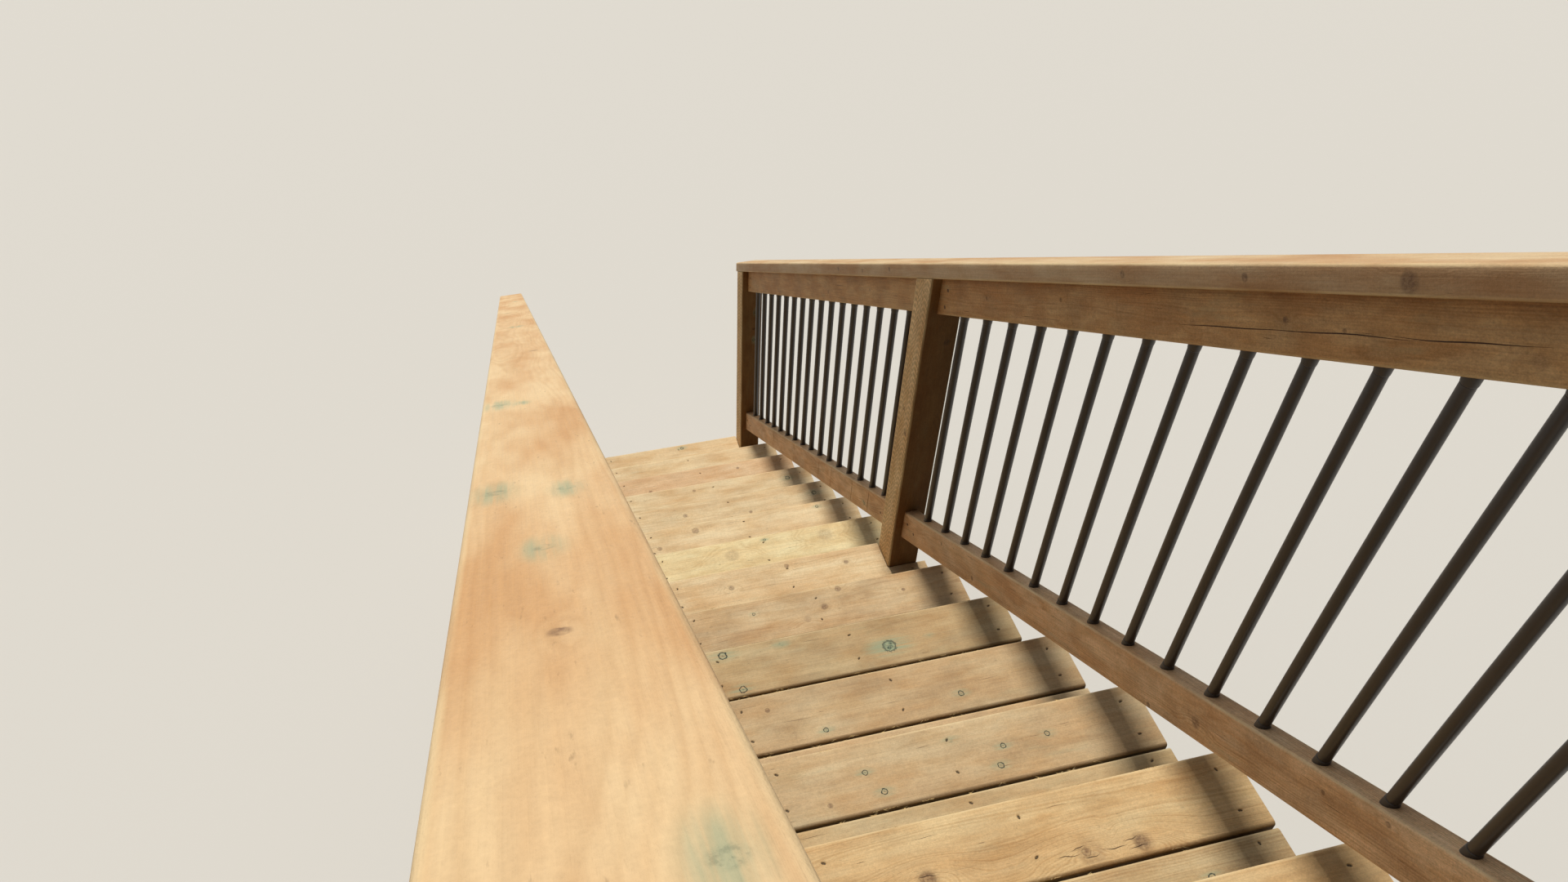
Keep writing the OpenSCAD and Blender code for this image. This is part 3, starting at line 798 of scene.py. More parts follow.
def tread_board(index, is_back):
    """One board of a tread as a surface. The places of its screw heads are kept for later."""
    edge_y = nose_y[index] + is_back * (board_width + board_gap)
    centre_y = edge_y + board_width / 2
    rows = np.array([BACK_ROW if is_back else FIRST_ROW, SECOND_ROW]) - board_width / 2
    low, high, marks = notch(index, is_back, centre_y)
    spots = screw_spots(rows)
    if low is not None:
        spots[:, 1] = np.maximum(spots[:, 1], low(spots[:, 0]) + SCREW_ROOM)
    if high is not None:
        spots[:, 1] = np.minimum(spots[:, 1], high(spots[:, 0]) - SCREW_ROOM)
    if marks:
        beside = np.abs(spots[:, 0]) < notch_x
        outer = [spots[~beside & (np.sign(spots[:, 0]) == sign)][:1] for sign in (-1, 1)]
        spots = np.concatenate([spots[beside], *outer])
    face = board_thick / MM / 2
    listed = [] if is_back else TREAD_KNOTS.get(index + 1, [])
    knots = [(x, y - board_width / MM / 2, face, r, kind) for x, y, r, kind in listed]
    # Where knots are listed, more are strewn on the right half only
    start, per_metre = STREWN_RIGHT if knots else -STREWN_HALF, 1.6 if is_back else 1.4
    knots += random_knots(start, STREWN_HALF, STREWN_ACROSS, face, per_metre, STREWN_KINDS)
    short = rng.uniform(0.2, 2.4, 2) * MM
    fine = np.concatenate([rows, spots[-2:, 1]]) if marks else rows
    section = outline(board_width, board_thick, TREAD_EDGE, rows=(fine[:, None] + AROUND_SCREW).ravel())
    look = TREAD_TINTS[index].split()[int(is_back)]
    heads.extend([(x, centre_y + w, tread_top[index] - SCREW_DIP) for x, w in spots])
    # Side faces, the gap walls, are painted dark as shade, and so is the uphill rounded edge
    return board(
        (np.array([0, centre_y, tread_top[index] - board_thick / 2]), ALONG_X, LEVEL_Y, UP), section,
        level_cut(-tread_half + short[0]), level_cut(tread_half - short[1]),
        np.concatenate([(stringer_x[:, None] + AROUND_SCREW).ravel(), walls(marks)]), low, high, dips(spots),
        tint=TINTS[look], rings=TREAD_RINGS[index], warmth=rng.uniform(-0.05, 0.08), wear=TREAD_WEAR[index],
        painted_side_shading=0.42, pith=(rng.uniform(-35, 35), -rng.uniform(22, 75)), knots=knots, shaded_edge_side=1)


for index, name in enumerate(TREADS):
    boards = [tread_board(index, is_back) for is_back in (False, True)]
    piece(f"{name}_boards", boards, tread_wood, name)
print("treads:", len(TREADS), "with", len(heads), "screws,", sum(triangles.values()), "triangles")

# %% [markdown]
# ## Turned pieces
# Screw heads, bolts and balusters are all profiles turned about an axis. There are hundreds of screw heads,
# so each has a few dozen faces.

# %% Turning
def turned(profile, centre, axis=UP, sides=12, side_axis=ALONG_X):
    """Surface of revolution: point = centre + radius * (cos a * p + sin a * q) + height * axis for each
    (radius, height) of the profile, where p and q are square to the axis and p x q = axis."""
    q_axis = np.cross(axis, side_axis)
    radius, height = np.array(profile).T
    a = np.linspace(0, 2 * math.pi, sides, endpoint=False)
    ring = np.cos(a)[:, None] * side_axis + np.sin(a)[:, None] * q_axis
    points = np.asarray(centre) + radius[:, None, None] * ring[None] + height[:, None, None] * axis
    return points.reshape(-1, 3), tube_faces(len(radius), sides), {}


def fine_finish(name, hex_code, rough, metallic, grit_mm, depth_mm, spread=0.2):
    """A finish with fine unevenness: noise with grains of grit_mm shades it and raises it by depth_mm."""
    material, tree, shader = new_material(name)
    where = add(tree, "TexCoord", out="Object")
    grit = add(tree, "TexNoise", {"Vector": where, "Scale": 1 / (grit_mm * MM), "Detail": 3.0})
    dust = add(tree, "TexNoise", {"Vector": where, "Scale": 14.0, "Detail": 4.0})
    shade = add(tree, "MapRange", {"Value": grit, TO_LOW: 1 - spread, TO_HIGH: 1 + spread})
    haze = add(tree, "MapRange", {"Value": dust, LOW: 0.35, HIGH: 0.7, TO_LOW: 0.85, TO_HIGH: 1.25})
    shade = add(tree, "Math", {0: shade, 1: haze}, **TIMES)
    colour = add(tree, "VectorMath", {0: tuple(linear(hex_code)), "Scale": shade}, operation="SCALE")
    sheen = add(tree, "MapRange", {"Value": dust, TO_LOW: rough - 0.1, TO_HIGH: rough + 0.12})
    bump = add(tree, "Bump", {"Height": grit, "Distance": depth_mm * MM, "Strength": 1.0})
    fill(tree, shader, {"Base Color": colour, "Roughness": sheen, "Normal": bump, "Metallic": metallic})
    return material


# Ceramic-coated steel: dull green-brown, almost without shine
screw_coat = fine_finish("coated_steel_screw", "#3f3828", 0.55, 0.4, 1.2, 0.05)
HEAD_PROFILE = [(2.0 * MM, -2.0 * MM), (HEAD_RADIUS, -0.4 * MM), (HEAD_RADIUS, 0.5 * MM),
                (HEAD_RADIUS - 0.5 * MM, 0.8 * MM), (1.9 * MM, 0.7 * MM), (1.5 * MM, -0.9 * MM)]
piece("tread_screws", [turned(HEAD_PROFILE, place) for place in heads], screw_coat)
print("screw heads:", len(heads), "with", triangles["tread_screws"], "triangles")

# %% [markdown]
# ## Stringers
# A stringer is one deep board with the steps sawn out. Measured along the slope, its upper edge is a zigzag
# between the outer corners and the inner corners of the steps, its lower edge is straight, and at its foot
# and head the level and plumb cuts close it. All of these are limits on the same board surface.

# %% Stringers
step_y = nose_y + (tread_depth + 0.3 * MM - run)
seat_z = tread_top - board_thick
stringer_head_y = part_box("stringer_right_outer")[1].y
plumb_foot_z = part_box("hanger_board")[0].z


def on_slope(y, z):
    """(along, off) of a point: its distances along the slope and square to it, from the frame's origin."""
    y, z = np.asarray(y, float), np.asarray(z, float)
    return y * UPHILL[1] + z * UPHILL[2], y * OFF_SLOPE[1] + z * OFF_SLOPE[2]


corner_y = np.concatenate([[step_y[0]], np.stack([step_y, step_y + run], axis=1).ravel()])
corner_z = np.concatenate([[foot_z], np.repeat(seat_z, 2)])
upper_s, upper_w = on_slope(corner_y, corner_z)
_, lower_edge = on_slope(stringer_head_y, plumb_foot_z)
foot_back_y = (lower_edge - foot_z * OFF_SLOPE[2]) / OFF_SLOPE[1]
lower_s, lower_w = on_slope([step_y[0], foot_back_y, stringer_head_y, stringer_head_y],
                            [foot_z, foot_z, plumb_foot_z, seat_z[-1]])
full_width = upper_w.max() - lower_edge
middle_w = lower_edge + full_width / 2


def stringer(name):
    """A stringer's surface: w is held between the straight lower edge and the sawn steps."""
    low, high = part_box(name)
    thick, foot, head = high.x - low.x, upper_s[0], lower_s[-1]
    section = outline(full_width, thick, STRINGER_EDGE, arc=3, broad_steps=8)
    knots = random_knots(foot / MM, head / MM, full_width / MM / 2, thick / MM / 2, 2.5)
    return board(
        (np.array([(low.x + high.x) / 2, 0, 0]) + OFF_SLOPE * middle_w, UPHILL, OFF_SLOPE, ALONG_X), section,
        level_cut(foot), level_cut(head),
        np.concatenate([upper_s, lower_s, np.linspace(foot, head, STRINGER_STATIONS)]),
        lambda s: np.interp(s, lower_s, lower_w) - middle_w,
        lambda s: np.interp(s, upper_s, upper_w) - middle_w,
        tint="#bb9a6c", rings=0.45, pith=(rng.uniform(-40, 40), -rng.uniform(30, 90)), knots=knots, ease=0.3)


for name in stringers:
    piece(f"{name}_board", [stringer(name)], frame_wood, name)
print("stringers reach", round(lower_s[-1] - upper_s[0], 3), "m along the slope")

# %% [markdown]
# ## Posts
# The posts stand upright through the treads. Below the tread their outer part is cut away, so that they
# hook over the stringer and lap its inner face. Their tops are sawn to the slope, under the cap. The two
# incised faces take up more preservative and weather to a paler gold than the plain ones. Their colour also
# holds painted light, as bounced up from the treads, and the plain faces' colour holds painted shade.

# %% Posts
# Plain faces: their colour with painted shade. Incised faces: a paler gold with painted light
PLAIN_FACE_PAINTED_SHADE = "#8a6a42"
INCISED_FACE_PAINTED_LIGHT = "#edcd9a"
POST_KNOTS = {("left", "middle"): [
    (-647, 44, 21, 9, PLUM), (-583, 44, -6, 6, BROWN), (-330, -20, 44, 10, SMUDGE),
    (-120, 10, 44, 9, SMUDGE), (-60, 44, 10, 6, BROWN)]}


def post(side, place):
    """A post's surface, fibres upright: it starts on a level foot and ends under the sloped cap."""
    low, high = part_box(post_nodes[side, place])
    width, depth = high.x - low.x, high.y - low.y
    shoulder = seat_z[post_tread[place]]
    section = outline(width, depth, TIMBER_EDGE)
    # Below its shoulder a post's outer side is cut back to the lap
    limit = SIDES[side] * np.array([lap_face - (post_inner + post_outer) / 2, NO_LIMIT])
    limits = {"high" if side == "right" else "low": lambda s: np.where(s < shoulder, *limit)}
    strewn = (low.z / MM, high.z / MM, 30, 44, 2.2, (PLUM, BROWN, PIN))
    knots = POST_KNOTS.get((side, place)) or random_knots(*strewn)
    cut_face = (np.abs(section[0]) > width / 2 - 0.1 * MM) * 1.0
    return board(
        (np.array([(low.x + high.x) / 2, (low.y + high.y) / 2, 0]), UP, ALONG_X, LEVEL_Y), section,
        level_cut(low.z), lambda w, t: high.z - (depth / 2 - t) * math.tan(theta) + 0 * w,
        np.concatenate([np.linspace(low.z, high.z, TIMBER_STATIONS), [shoulder - HAIR, shoulder + HAIR]]),
        tint=PLAIN_FACE_PAINTED_SHADE, rings=0.4, contrast=1.2, painted_side_shading=linear(INCISED_FACE_PAINTED_LIGHT) / linear(PLAIN_FACE_PAINTED_SHADE),
        pith=(rng.uniform(-25, 25), rng.uniform(-25, 25)), knots=knots, cut_face=cut_face, **limits)


for side, place in post_nodes:
    name = post_nodes[side, place]
    piece(f"{name}_timber", [post(side, place)], post_wood, name)
print("posts are", round((post_outer - post_inner) / MM, 1), "mm square, with", len(post_nodes), "in all")

# %% [markdown]
# ## Rails and caps
# These boards lie along the slope and end in plumb cuts. On a plumb end every point has the same y, so a
# point that lies higher off the slope starts a little further along it. The knots of the handrail caps and
# of the railing that faces the viewer are listed, because they are seen from close by.

# %% Sloped boards
LINED_KNOTS = {
    "cap_right": [
        (-1598, 0, 19, 9, FAINT), (-298, -28, 19, 9, FAINT), (-290, -5, 19, 4, FAINT),
        (128, -28, 19, 8, FAINT), (147, 14, 19, 6, FAINT), (277, -4, 19, 6, FAINT), (301, 44, 0, 6, FAINT),
        (403, -2, 19, 5, SMUDGE), (576, 27, 19, 6, FAINT), (-900, 20, 19, 7, SMUDGE),
        (-2300, -15, 19, 9, PLUM), (-3100, 12, 19, 7, PIN)],
    "cap_left": [
        (-2470, -44, 2, 8, SMUDGE), (-2238, -44, -3, 6, SMUDGE), (-2010, -44, 3, 7, SMUDGE),
        (-877, -44, 1, 7, SMUDGE), (-568, -44, 0, 7, SMUDGE), (-284, -44, -2, 14, SMUDGE),
        (-1500, 10, 19, 7, PLUM), (-3300, 0, 19, 7, PIN)],
    "upper_rail_left_upper": [
        (-1476, 4, 19, 5, SMUDGE), (-1143, 11, 19, 5, SMUDGE), (-734, -10, 19, 8, SWIRL),
        (-525, 4, 19, 6, SMUDGE), (-418, -4, 19, 4, SMUDGE), (-149, -20, 19, 10, SWIRL)],
    "upper_rail_left_lower": [(-2272, 3, 19, 4, BROWN), (-2700, -14, 19, 5, PLUM)],
    "bottom_rail_left_upper": [
        (-803, -9, 19, 11, SMUDGE), (-948, -36, 19, 6, SMUDGE), (-1915, 18, 19, 5, SMUDGE),
        (-1727, -22, 19, 7, SMUDGE), (-502, 15, 19, 4, PLUM), (-382, 29, 19, 5, SMUDGE)],
}
# The caps' side faces are darker than their tops: partly weathering, partly painted shade
CAP_SIDE_PAINTED_SHADE = (0.87, 0.83, 0.83)
KERFS_Y = {"bottom_rail_left_lower": [-3569, -3320, -3034, -2738, -2608, -2410, -2268]}
KERF_DEPTH = 2.1 * MM
KERF_HALF = 1.3 * MM


def kerf_cuts(low, high, places):
    """(shares, press) of thin plumb saw cuts in the broad face, at the given places on the level."""
    share = (np.array(places) * MM - low.y) / (high.y - low.y)

    def press(s, w, t):
        place = (s - s[0]) / (s[-1] - s[0])
        near = np.abs(place[..., None] - share).min(axis=-1) * (high.y - low.y) / math.cos(theta)
        return np.where(t > 0, KERF_DEPTH * (near < KERF_HALF), 0.0)
    return share, press


def sloped_box(node):
    """(low, high, plumb height, off, middle) of a board along the slope: the corners of its box, its height
    on the plumb and square to the slope, and how far its middle lies off the slope."""
    low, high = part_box(node)
    plumb_height = high.z - low.z - (high.y - low.y) * math.tan(theta)
    off = plumb_height * math.cos(theta)
    return low, high, plumb_height, off, on_slope(low.y, low.z)[1] + off / 2


def sloped(node, flat, tint, rings, wear, contrast, ease=0.6):
    """A rail on edge, or a flat cap, with plumb ends, from its node's box."""
    low, high, _, off, middle = sloped_box(node)
    across_x = high.x - low.x
    section = outline(across_x if flat else off, off if flat else across_x, TIMBER_EDGE)

    def plumb_cut(y):
        """A cut at y: the further off the slope a point lies, the further along it starts."""
        return lambda w, t: (y - (middle + (t if flat else w)) * OFF_SLOPE[1]) / UPHILL[1] + 0 * (w + t)

    start, end = plumb_cut(low.y), plumb_cut(high.y)
    first, last = start(0, 0), end(0, 0)
    origin = np.array([(low.x + high.x) / 2, 0, 0]) + OFF_SLOPE * middle
    axes = (origin, UPHILL, -ALONG_X, OFF_SLOPE) if flat else (origin, UPHILL, OFF_SLOPE, ALONG_X)
    knots = LINED_KNOTS.get(node) or random_knots(first / MM, last / MM, 35, 19, 1.8)
    stations, press = np.linspace(first, last, TIMBER_STATIONS), None
    if node in KERFS_Y:
        share, press = kerf_cuts(low, high, KERFS_Y[node])
        cuts = (first + share * (last - first))[:, None] + np.array([-1.6, -0.8, 0.0, 0.8, 1.6]) * KERF_HALF
        stations = np.concatenate([stations, cuts.ravel()])
    return board(axes, section, start, end, stations, press=press, tint=tint, rings=rings, wear=wear,
                 contrast=contrast, painted_side_shading=CAP_SIDE_PAINTED_SHADE if flat else 1.0, knots=knots, ease=ease,
                 pith=(rng.uniform(-30, 30), -rng.uniform(25, 60)))


for side in SIDES:
    tint, contrast = ("#d2b289", 0.4) if side == "right" else ("#c7ab86", 0.9)
    cap = sloped(f"cap_{side}", True, tint, 0.3, 0.1 * contrast, contrast, ease=3.0)
    piece(f"cap_{side}_board", [cap], cap_wood, f"cap_{side}")
    for bay in BAYS:
        for kind, tint, rings in (("upper_rail", "#c49d6e", 0.6), ("bottom_rail", "#dab78f", 0.85)):
            name = f"{kind}_{side}_{bay}"
            piece(f"{name}_board", [sloped(name, False, tint, rings, 0.8, 1.6)], rail_wood, name)
print("rails and caps:", [k for k in triangles if k.startswith(("cap", "upper", "bottom"))][:3], "and so on")

# %% [markdown]
# ## Balusters
# Each baluster is a round tube with a dark powder coat, set into a moulded socket at each end. The socket
# is cut to the slope, so its foot ring follows the rail while its rim is level. It could be a cylinder cut
# by a plane, but as a surface its foot ring can simply be laid on the slope.

# %% Balusters
baluster_coat = fine_finish("powder_coated_aluminium", "#2d2520", 0.36, 0.0, 0.9, 0.03, 0.12)
socket_plastic = fine_finish("moulded_plastic_socket", "#2f2823", 0.42, 0.0, 1.5, 0.02, 0.12)
collar_radius = (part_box("collars_left_lower")[1].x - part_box("collars_left_lower")[0].x) / 2
tube_radius = (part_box("balusters_left_lower")[1].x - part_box("balusters_left_lower")[0].x) / 2
# Points further apart than this along the stair belong to two tubes, in metres
TUBES_APART = 0.03


def bay_places(node):
    """(x, y, foot, head) of each baluster of one bay, read from the frame's node."""
    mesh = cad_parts[node].data
    co = np.empty(len(mesh.vertices) * 3, np.float32)
    mesh.vertices.foreach_get("co", co)
    co = co.reshape(-1, 3)[np.argsort(co[1::3])]
    groups = np.split(co, np.where(np.diff(co[:, 1]) > TUBES_APART)[0] + 1)
    return [(*((g.min(0) + g.max(0)) / 2)[:2], g[:, 2].min(), g[:, 2].max()) for g in groups]


def tube(x, y, foot, head):
    """A tube as one turned profile with eased ends."""
    r, c = tube_radius, 0.8 * MM
    return turned([(r - c, 0), (r, c), (r, head - foot - c), (r - c, head - foot)], (x, y, foot), sides=24)


def socket(x, y, rim, base_z, sign):
    """Socket surface: its base ring lies on the slope at height base_z(y), and its skirt tapers to level
    rings that run into the tube. sign is 1 for a socket that opens upward, and -1 for one that opens
    downward, which hardly flares."""
    a = np.linspace(0, 2 * math.pi, 24, endpoint=False) * sign
    foot = collar_radius - 0.4 * MM if sign > 0 else tube_radius + 1.3 * MM
    top = tube_radius + 0.7 * MM
    level = [(top, rim - sign * 1.6 * MM), (top - 0.2 * MM, rim - sign * 0.6 * MM), (top - 0.7 * MM, rim)]
    rings = []
    for radius, z in [(foot, None), *level]:
        ring_x, ring_y = x + radius * np.cos(a), y + radius * np.sin(a)
        ring_z = base_z(ring_y) if z is None else np.full(len(a), z)
        rings.append(np.stack([ring_x, ring_y, ring_z], axis=-1))
    return np.concatenate(rings), tube_faces(len(rings), len(a)), {}


for side in SIDES:
    for bay in BAYS:
        part = f"{side}_{bay}"
        places = bay_places(f"balusters_{part}")
        rail_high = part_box(f"bottom_rail_{part}")[1]
        rail_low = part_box(f"upper_rail_{part}")[0]
        rail_top = lambda y: rail_high.z - (rail_high.y - y) * math.tan(theta)
        rail_foot = lambda y: rail_low.z + (y - rail_low.y) * math.tan(theta)
        sockets = [socket(x, y, foot, rail_top, 1) for x, y, foot, _ in places]
        sockets += [socket(x, y, head, rail_foot, -1) for x, y, _, head in places]
        tubes = [tube(*p) for p in places]
        piece(f"balusters_{part}_tubes", tubes, baluster_coat, f"balusters_{part}")
        piece(f"collars_{part}_sockets", sockets, socket_plastic, f"collars_{part}")
        print(f"{side} {bay}: {len(places)} tubes, {len(sockets)} sockets")

# %% [markdown]
# ## Torn fibres
# Where a planer runs off a board's edge and rain swells it, short pale slivers lift along the gaps. They
# catch the light and break the straight dark lines. Hair particles would be lost in an export, so each
# sliver is a small tapering prism, and all of them are worked out at once as one array.

# %% Torn fibres
CLUSTERS = 10
FIBRES = 4
FIBRE_REACH = 440 * MM


def prisms(points):
    """Closed three-sided prisms from points laid out as (prism, station, corner, xyz)."""
    count, stations, corners, _ = points.shape
    faces = tube_faces(stations, corners)
    first = stations * corners * np.arange(count)[:, None, None]
    quads, caps = np.array(faces[:-2]) + first, np.array(faces[-2:]) + first
    return points.reshape(-1, 3), [*quads.reshape(-1, 4).tolist(), *caps.reshape(-1, 3).tolist()], {}


def slivers(place, way, length, lean, lift, width):
    """Tapering three-sided prisms, all at once: point = place + u * length * (way, lean, lift * u), with a
    section of radius width * (1 - 0.85 u) turned about that path, at four stations of u from 0 to 1."""
    u = np.linspace(0, 1, 4)
    a = np.radians([90, 210, 330])
    path = length[:, None, None] * np.stack(np.broadcast_arrays(
        u * way[:, None], u * lean[:, None], u * u * lift[:, None]), axis=-1)
    ring = np.stack(np.broadcast_arrays(0.0, np.cos(a) * way[:, None], np.sin(a)), axis=-1)
    thick = width[:, None] * (1 - 0.85 * u)
    return prisms(place[:, None, None] + path[:, :, None] + thick[..., None, None] * ring[:, None])


# Rounded edges of a tread as (distance behind the nose, drop below the top, way to the gap)
EDGES = np.array([(1.8 * MM, 1.8 * MM, 0), (board_width - 0.9 * MM, 2.8 * MM, 1),
                  (board_width + board_gap + 0.9 * MM, 2.8 * MM, -1)])
edge_y = (nose_y[:, None] + EDGES[:, 0]).ravel()
edge_z = (tread_top[:, None] - EDGES[:, 1]).ravel()
cluster_x = rng.uniform(-FIBRE_REACH, FIBRE_REACH, (len(edge_y), CLUSTERS, 1))
fibre_x = (cluster_x + rng.normal(0, 4 * MM, (len(edge_y), CLUSTERS, FIBRES))).ravel()
each = CLUSTERS * FIBRES
fibre_place = np.stack([fibre_x, np.repeat(edge_y, each), np.repeat(edge_z, each)], axis=-1)
count = len(fibre_place)
to_gap = np.repeat(np.tile(EDGES[:, 2], len(TREADS)), each)
# Torn wood is dry, pale and without any shine
torn_wood = fine_finish("torn_fir_fibre", "#ecd9aa", 0.85, 0.0, 2.0, 0.0)
piece("tread_fibres", [slivers(
    fibre_place, rng.choice([-1.0, 1.0], count), rng.uniform(3, 9, count) * MM,
    rng.normal(0, 0.2, count) + to_gap * rng.uniform(0.05, 0.6, count), rng.uniform(0, 0.4, count),
    rng.uniform(0.4, 0.75, count) * MM)], torn_wood)
print("fibres:", count, "with", triangles["tread_fibres"], "triangles")

# %% [markdown]
# ## Checks
# Drying wood opens along its fibres in fine dark lines, called checks. They could be painted, but a painted
# line blurs when it is narrower than the noise round it. Here each is a flat lens of dark shadow laid on the
# face, with a slight wander, so it stays crisp. A long one runs down the upper rail that faces the viewer.

# %% Checks
CHECKS_A_BOARD = 9
RAIL_KINDS = ("upper_rail", "bottom_rail")
# Short enough to stay clear of the posts' notches
LONGEST_CHECK = 70 * MM
LONG_CHECKS = [(-777, -12, 270), (-560, -9, 260), (-345, -5, 210)]
CHECKS_A_METRE = 9
SWIRL_TREAD = 12
SWIRL_CHECKS = [(-352, 124, 34), (-340, 108, 26), (-318, 116, 44), (-268, 121, 30), (-250, 104, 24),
                (-236, 113, 40), (-2, 92, 30), (14, 104, 22)]


def lenses(place, along, across, length, half, sway):
    """Flat lenses, all at once: point = place + u * length * along + sway * (sin of u and a phase) * across,
    with a section half * sin(pi u) wide and a quarter as high turned about it. length, half and sway are
    numbers or arrays."""
    length, half, sway = (np.broadcast_to(v, len(place))[:, None] for v in (length, half, sway))
    u = np.linspace(0, 1, 9)
    a = np.radians([30, 150, 270])
    phase = rng.uniform(0, 2 * math.pi, (2, len(place), 1))
    wave = sway * (np.sin(4 * u + phase[0]) + 0.4 * np.sin(11 * u + phase[1]))
    path = place[:, None] + (u * length)[..., None] * along + wave[..., None] * across
    wide = half * np.maximum(np.sin(math.pi * u), 0.12)
    section = np.cos(a)[:, None] * across + 0.25 * np.sin(a)[:, None] * np.cross(along, across)
    return prisms(path[:, :, None] + wide[..., None, None] * section)


def level_checks(x, y, z, length, half, sway):
    """Checks along x on a level face at height z."""
    return lenses(np.stack([x, y, np.full(len(x), z)], axis=-1), ALONG_X, LEVEL_Y, length, half, sway)


def slope_checks(node, s, w, length, half, sway):
    """Checks along the slope on the inner face of a rail."""
    low, high, _, _, middle = sloped_box(node)
    inward = -np.sign(low.x + high.x)
    across = inward * OFF_SLOPE
    base = (high.x if inward > 0 else low.x) * ALONG_X + middle * OFF_SLOPE
    return lenses(base + s[:, None] * UPHILL + w[:, None] * across, UPHILL, across, length, half, sway)


check_surfaces = []
for index in range(len(TREADS)):
    for is_back in (0, 1):
        x = rng.uniform(-430, 380, CHECKS_A_BOARD) * MM
        behind_nose = rng.uniform(12, 128, CHECKS_A_BOARD) * MM + is_back * (board_width + board_gap)
        length = np.minimum(rng.exponential(18, len(x)) * MM + 5 * MM, LONGEST_CHECK)
        check_surfaces.append(level_checks(
            x, nose_y[index] + behind_nose, tread_top[index], length,
            rng.uniform(0.2, 0.42, len(x)) * MM, rng.uniform(0.1, 0.6, len(x)) * MM))
swirl = np.array(SWIRL_CHECKS) * MM
check_surfaces.append(level_checks(
    swirl[:, 0], nose_y[SWIRL_TREAD] + swirl[:, 1], tread_top[SWIRL_TREAD], swirl[:, 2], 0.8 * MM, 1.6 * MM))
long_checks = np.array(LONG_CHECKS) * MM
check_surfaces.append(slope_checks("upper_rail_left_upper", *long_checks.T, 1.0 * MM, 1.5 * MM))
for side in SIDES:
    for node in [f"{kind}_{side}_{bay}" for kind in RAIL_KINDS for bay in BAYS]:
        low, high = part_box(node)
        s_from, s_to = on_slope(low.y, low.z)[0] + 0.1, on_slope(high.y, high.z)[0] - 0.25
        count = int((s_to - s_from) * CHECKS_A_METRE)
        check_surfaces.append(slope_checks(
            node, rng.uniform(s_from, s_to, count), rng.uniform(-38, 38, count) * MM,
            rng.exponential(30, count) * MM + 6 * MM, rng.uniform(0.2, 0.5, count) * MM,
            rng.uniform(0.2, 1.0, count) * MM))
# The inside of a crack: unlit and dull
open_check = fine_finish("open_fir_check", "#3b2615", 0.95, 0.0, 2.0, 0.0, 0.25)
piece("wood_checks", check_surfaces, open_check)
print("checks:", triangles["wood_checks"], "triangles")

# %% [markdown]
# ## Bolts and toe screws
# Where a post hooks over its stringer, two carriage bolts clamp the lap: a dome outside, a washer and a nut
# inside. They are out of sight from the top of the flight, and stand where such posts are always bolted.
# The rails are held by screws near their ends, driven at a slant into the posts.

# %% Bolts and toe screws
# Profiles as (radius, height over the face)
DOME = np.array([(11, -1), (11, 0.8), (9.6, 2.6), (6.4, 4.2), (2.2, 4.9)]) * MM
WASHER = np.array([(4, -0.6), (14, -0.6), (14, 1.8), (9.2, 2.0)]) * MM
NUT = np.array([(10, 1.4), (10.6, 2.4), (10.6, 8.4), (9.6, 9.4), (5.4, 9.4), (5, 13), (4.2, 13.8)]) * MM
# Places in a lap as (share of its height below the shoulder, distance uphill of the post's middle)
LAP_BOLTS = ((0.28, 2 * MM), (0.75, 22 * MM))
# Places at a rail's end as (distance from the end, share of the plumb height)
TOES = {"upper_rail": ((35 * MM, 0.22), (37 * MM, 0.67)), "bottom_rail": ((28 * MM, 0.62), (72 * MM, 0.4))}
TOE_PROFILE = [(radius * 1.3, height) for radius, height in HEAD_PROFILE]
bolts, toes = [], []
for (side, place), node in post_nodes.items():
    low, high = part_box(node)
    shoulder, outward = seat_z[post_tread[place]], SIDES[side] * ALONG_X
    for share, uphill in LAP_BOLTS:
        y, z = (low.y + high.y) / 2 + uphill, shoulder - share * (shoulder - low.z)
        inner = (SIDES[side] * post_inner, y, z)
        bolts += [turned(DOME, (SIDES[side] * post_outer, y, z), outward, 16, UP),
                  turned(WASHER, inner, -outward, 16, UP), turned(NUT, inner, -outward, 6, UP)]
for side in SIDES:
    for bay in BAYS:
        for kind, places in TOES.items():
            low, high, plumb_height, _, _ = sloped_box(f"{kind}_{side}_{bay}")
            face_x = low.x if side == "right" else high.x
            for y, share in [(low.y + d, h) for d, h in places] + [(high.y - d, h) for d, h in places]:
                z = low.z + (y - low.y) * math.tan(theta) + share * plumb_height
                toes.append(turned(TOE_PROFILE, (face_x, y, z), -SIDES[side] * ALONG_X, 12, UP))
# Dipped in molten zinc: dull grey with a faint spangle
zinc = fine_finish("galvanised_steel_bolt", "#8d9092", 0.45, 0.85, 3.0, 0.05, 0.18)
# Black phosphate on steel: almost black, with a dull glint
black_coat = fine_finish("phosphated_steel_screw", "#241e18", 0.5, 0.4, 1.2, 0.05)
piece("lap_bolts", bolts, zinc)
piece("toe_screws", toes, black_coat)
print("bolts:", len(bolts) // 3, "toe screws:", len(toes))

# %% [markdown]
# ## Hanger board
# The frame's own solid stays here, because it has the bolt holes, and only its material changes. Without
# attributes of its own it takes its coordinates from the object: fibres run across the stair.

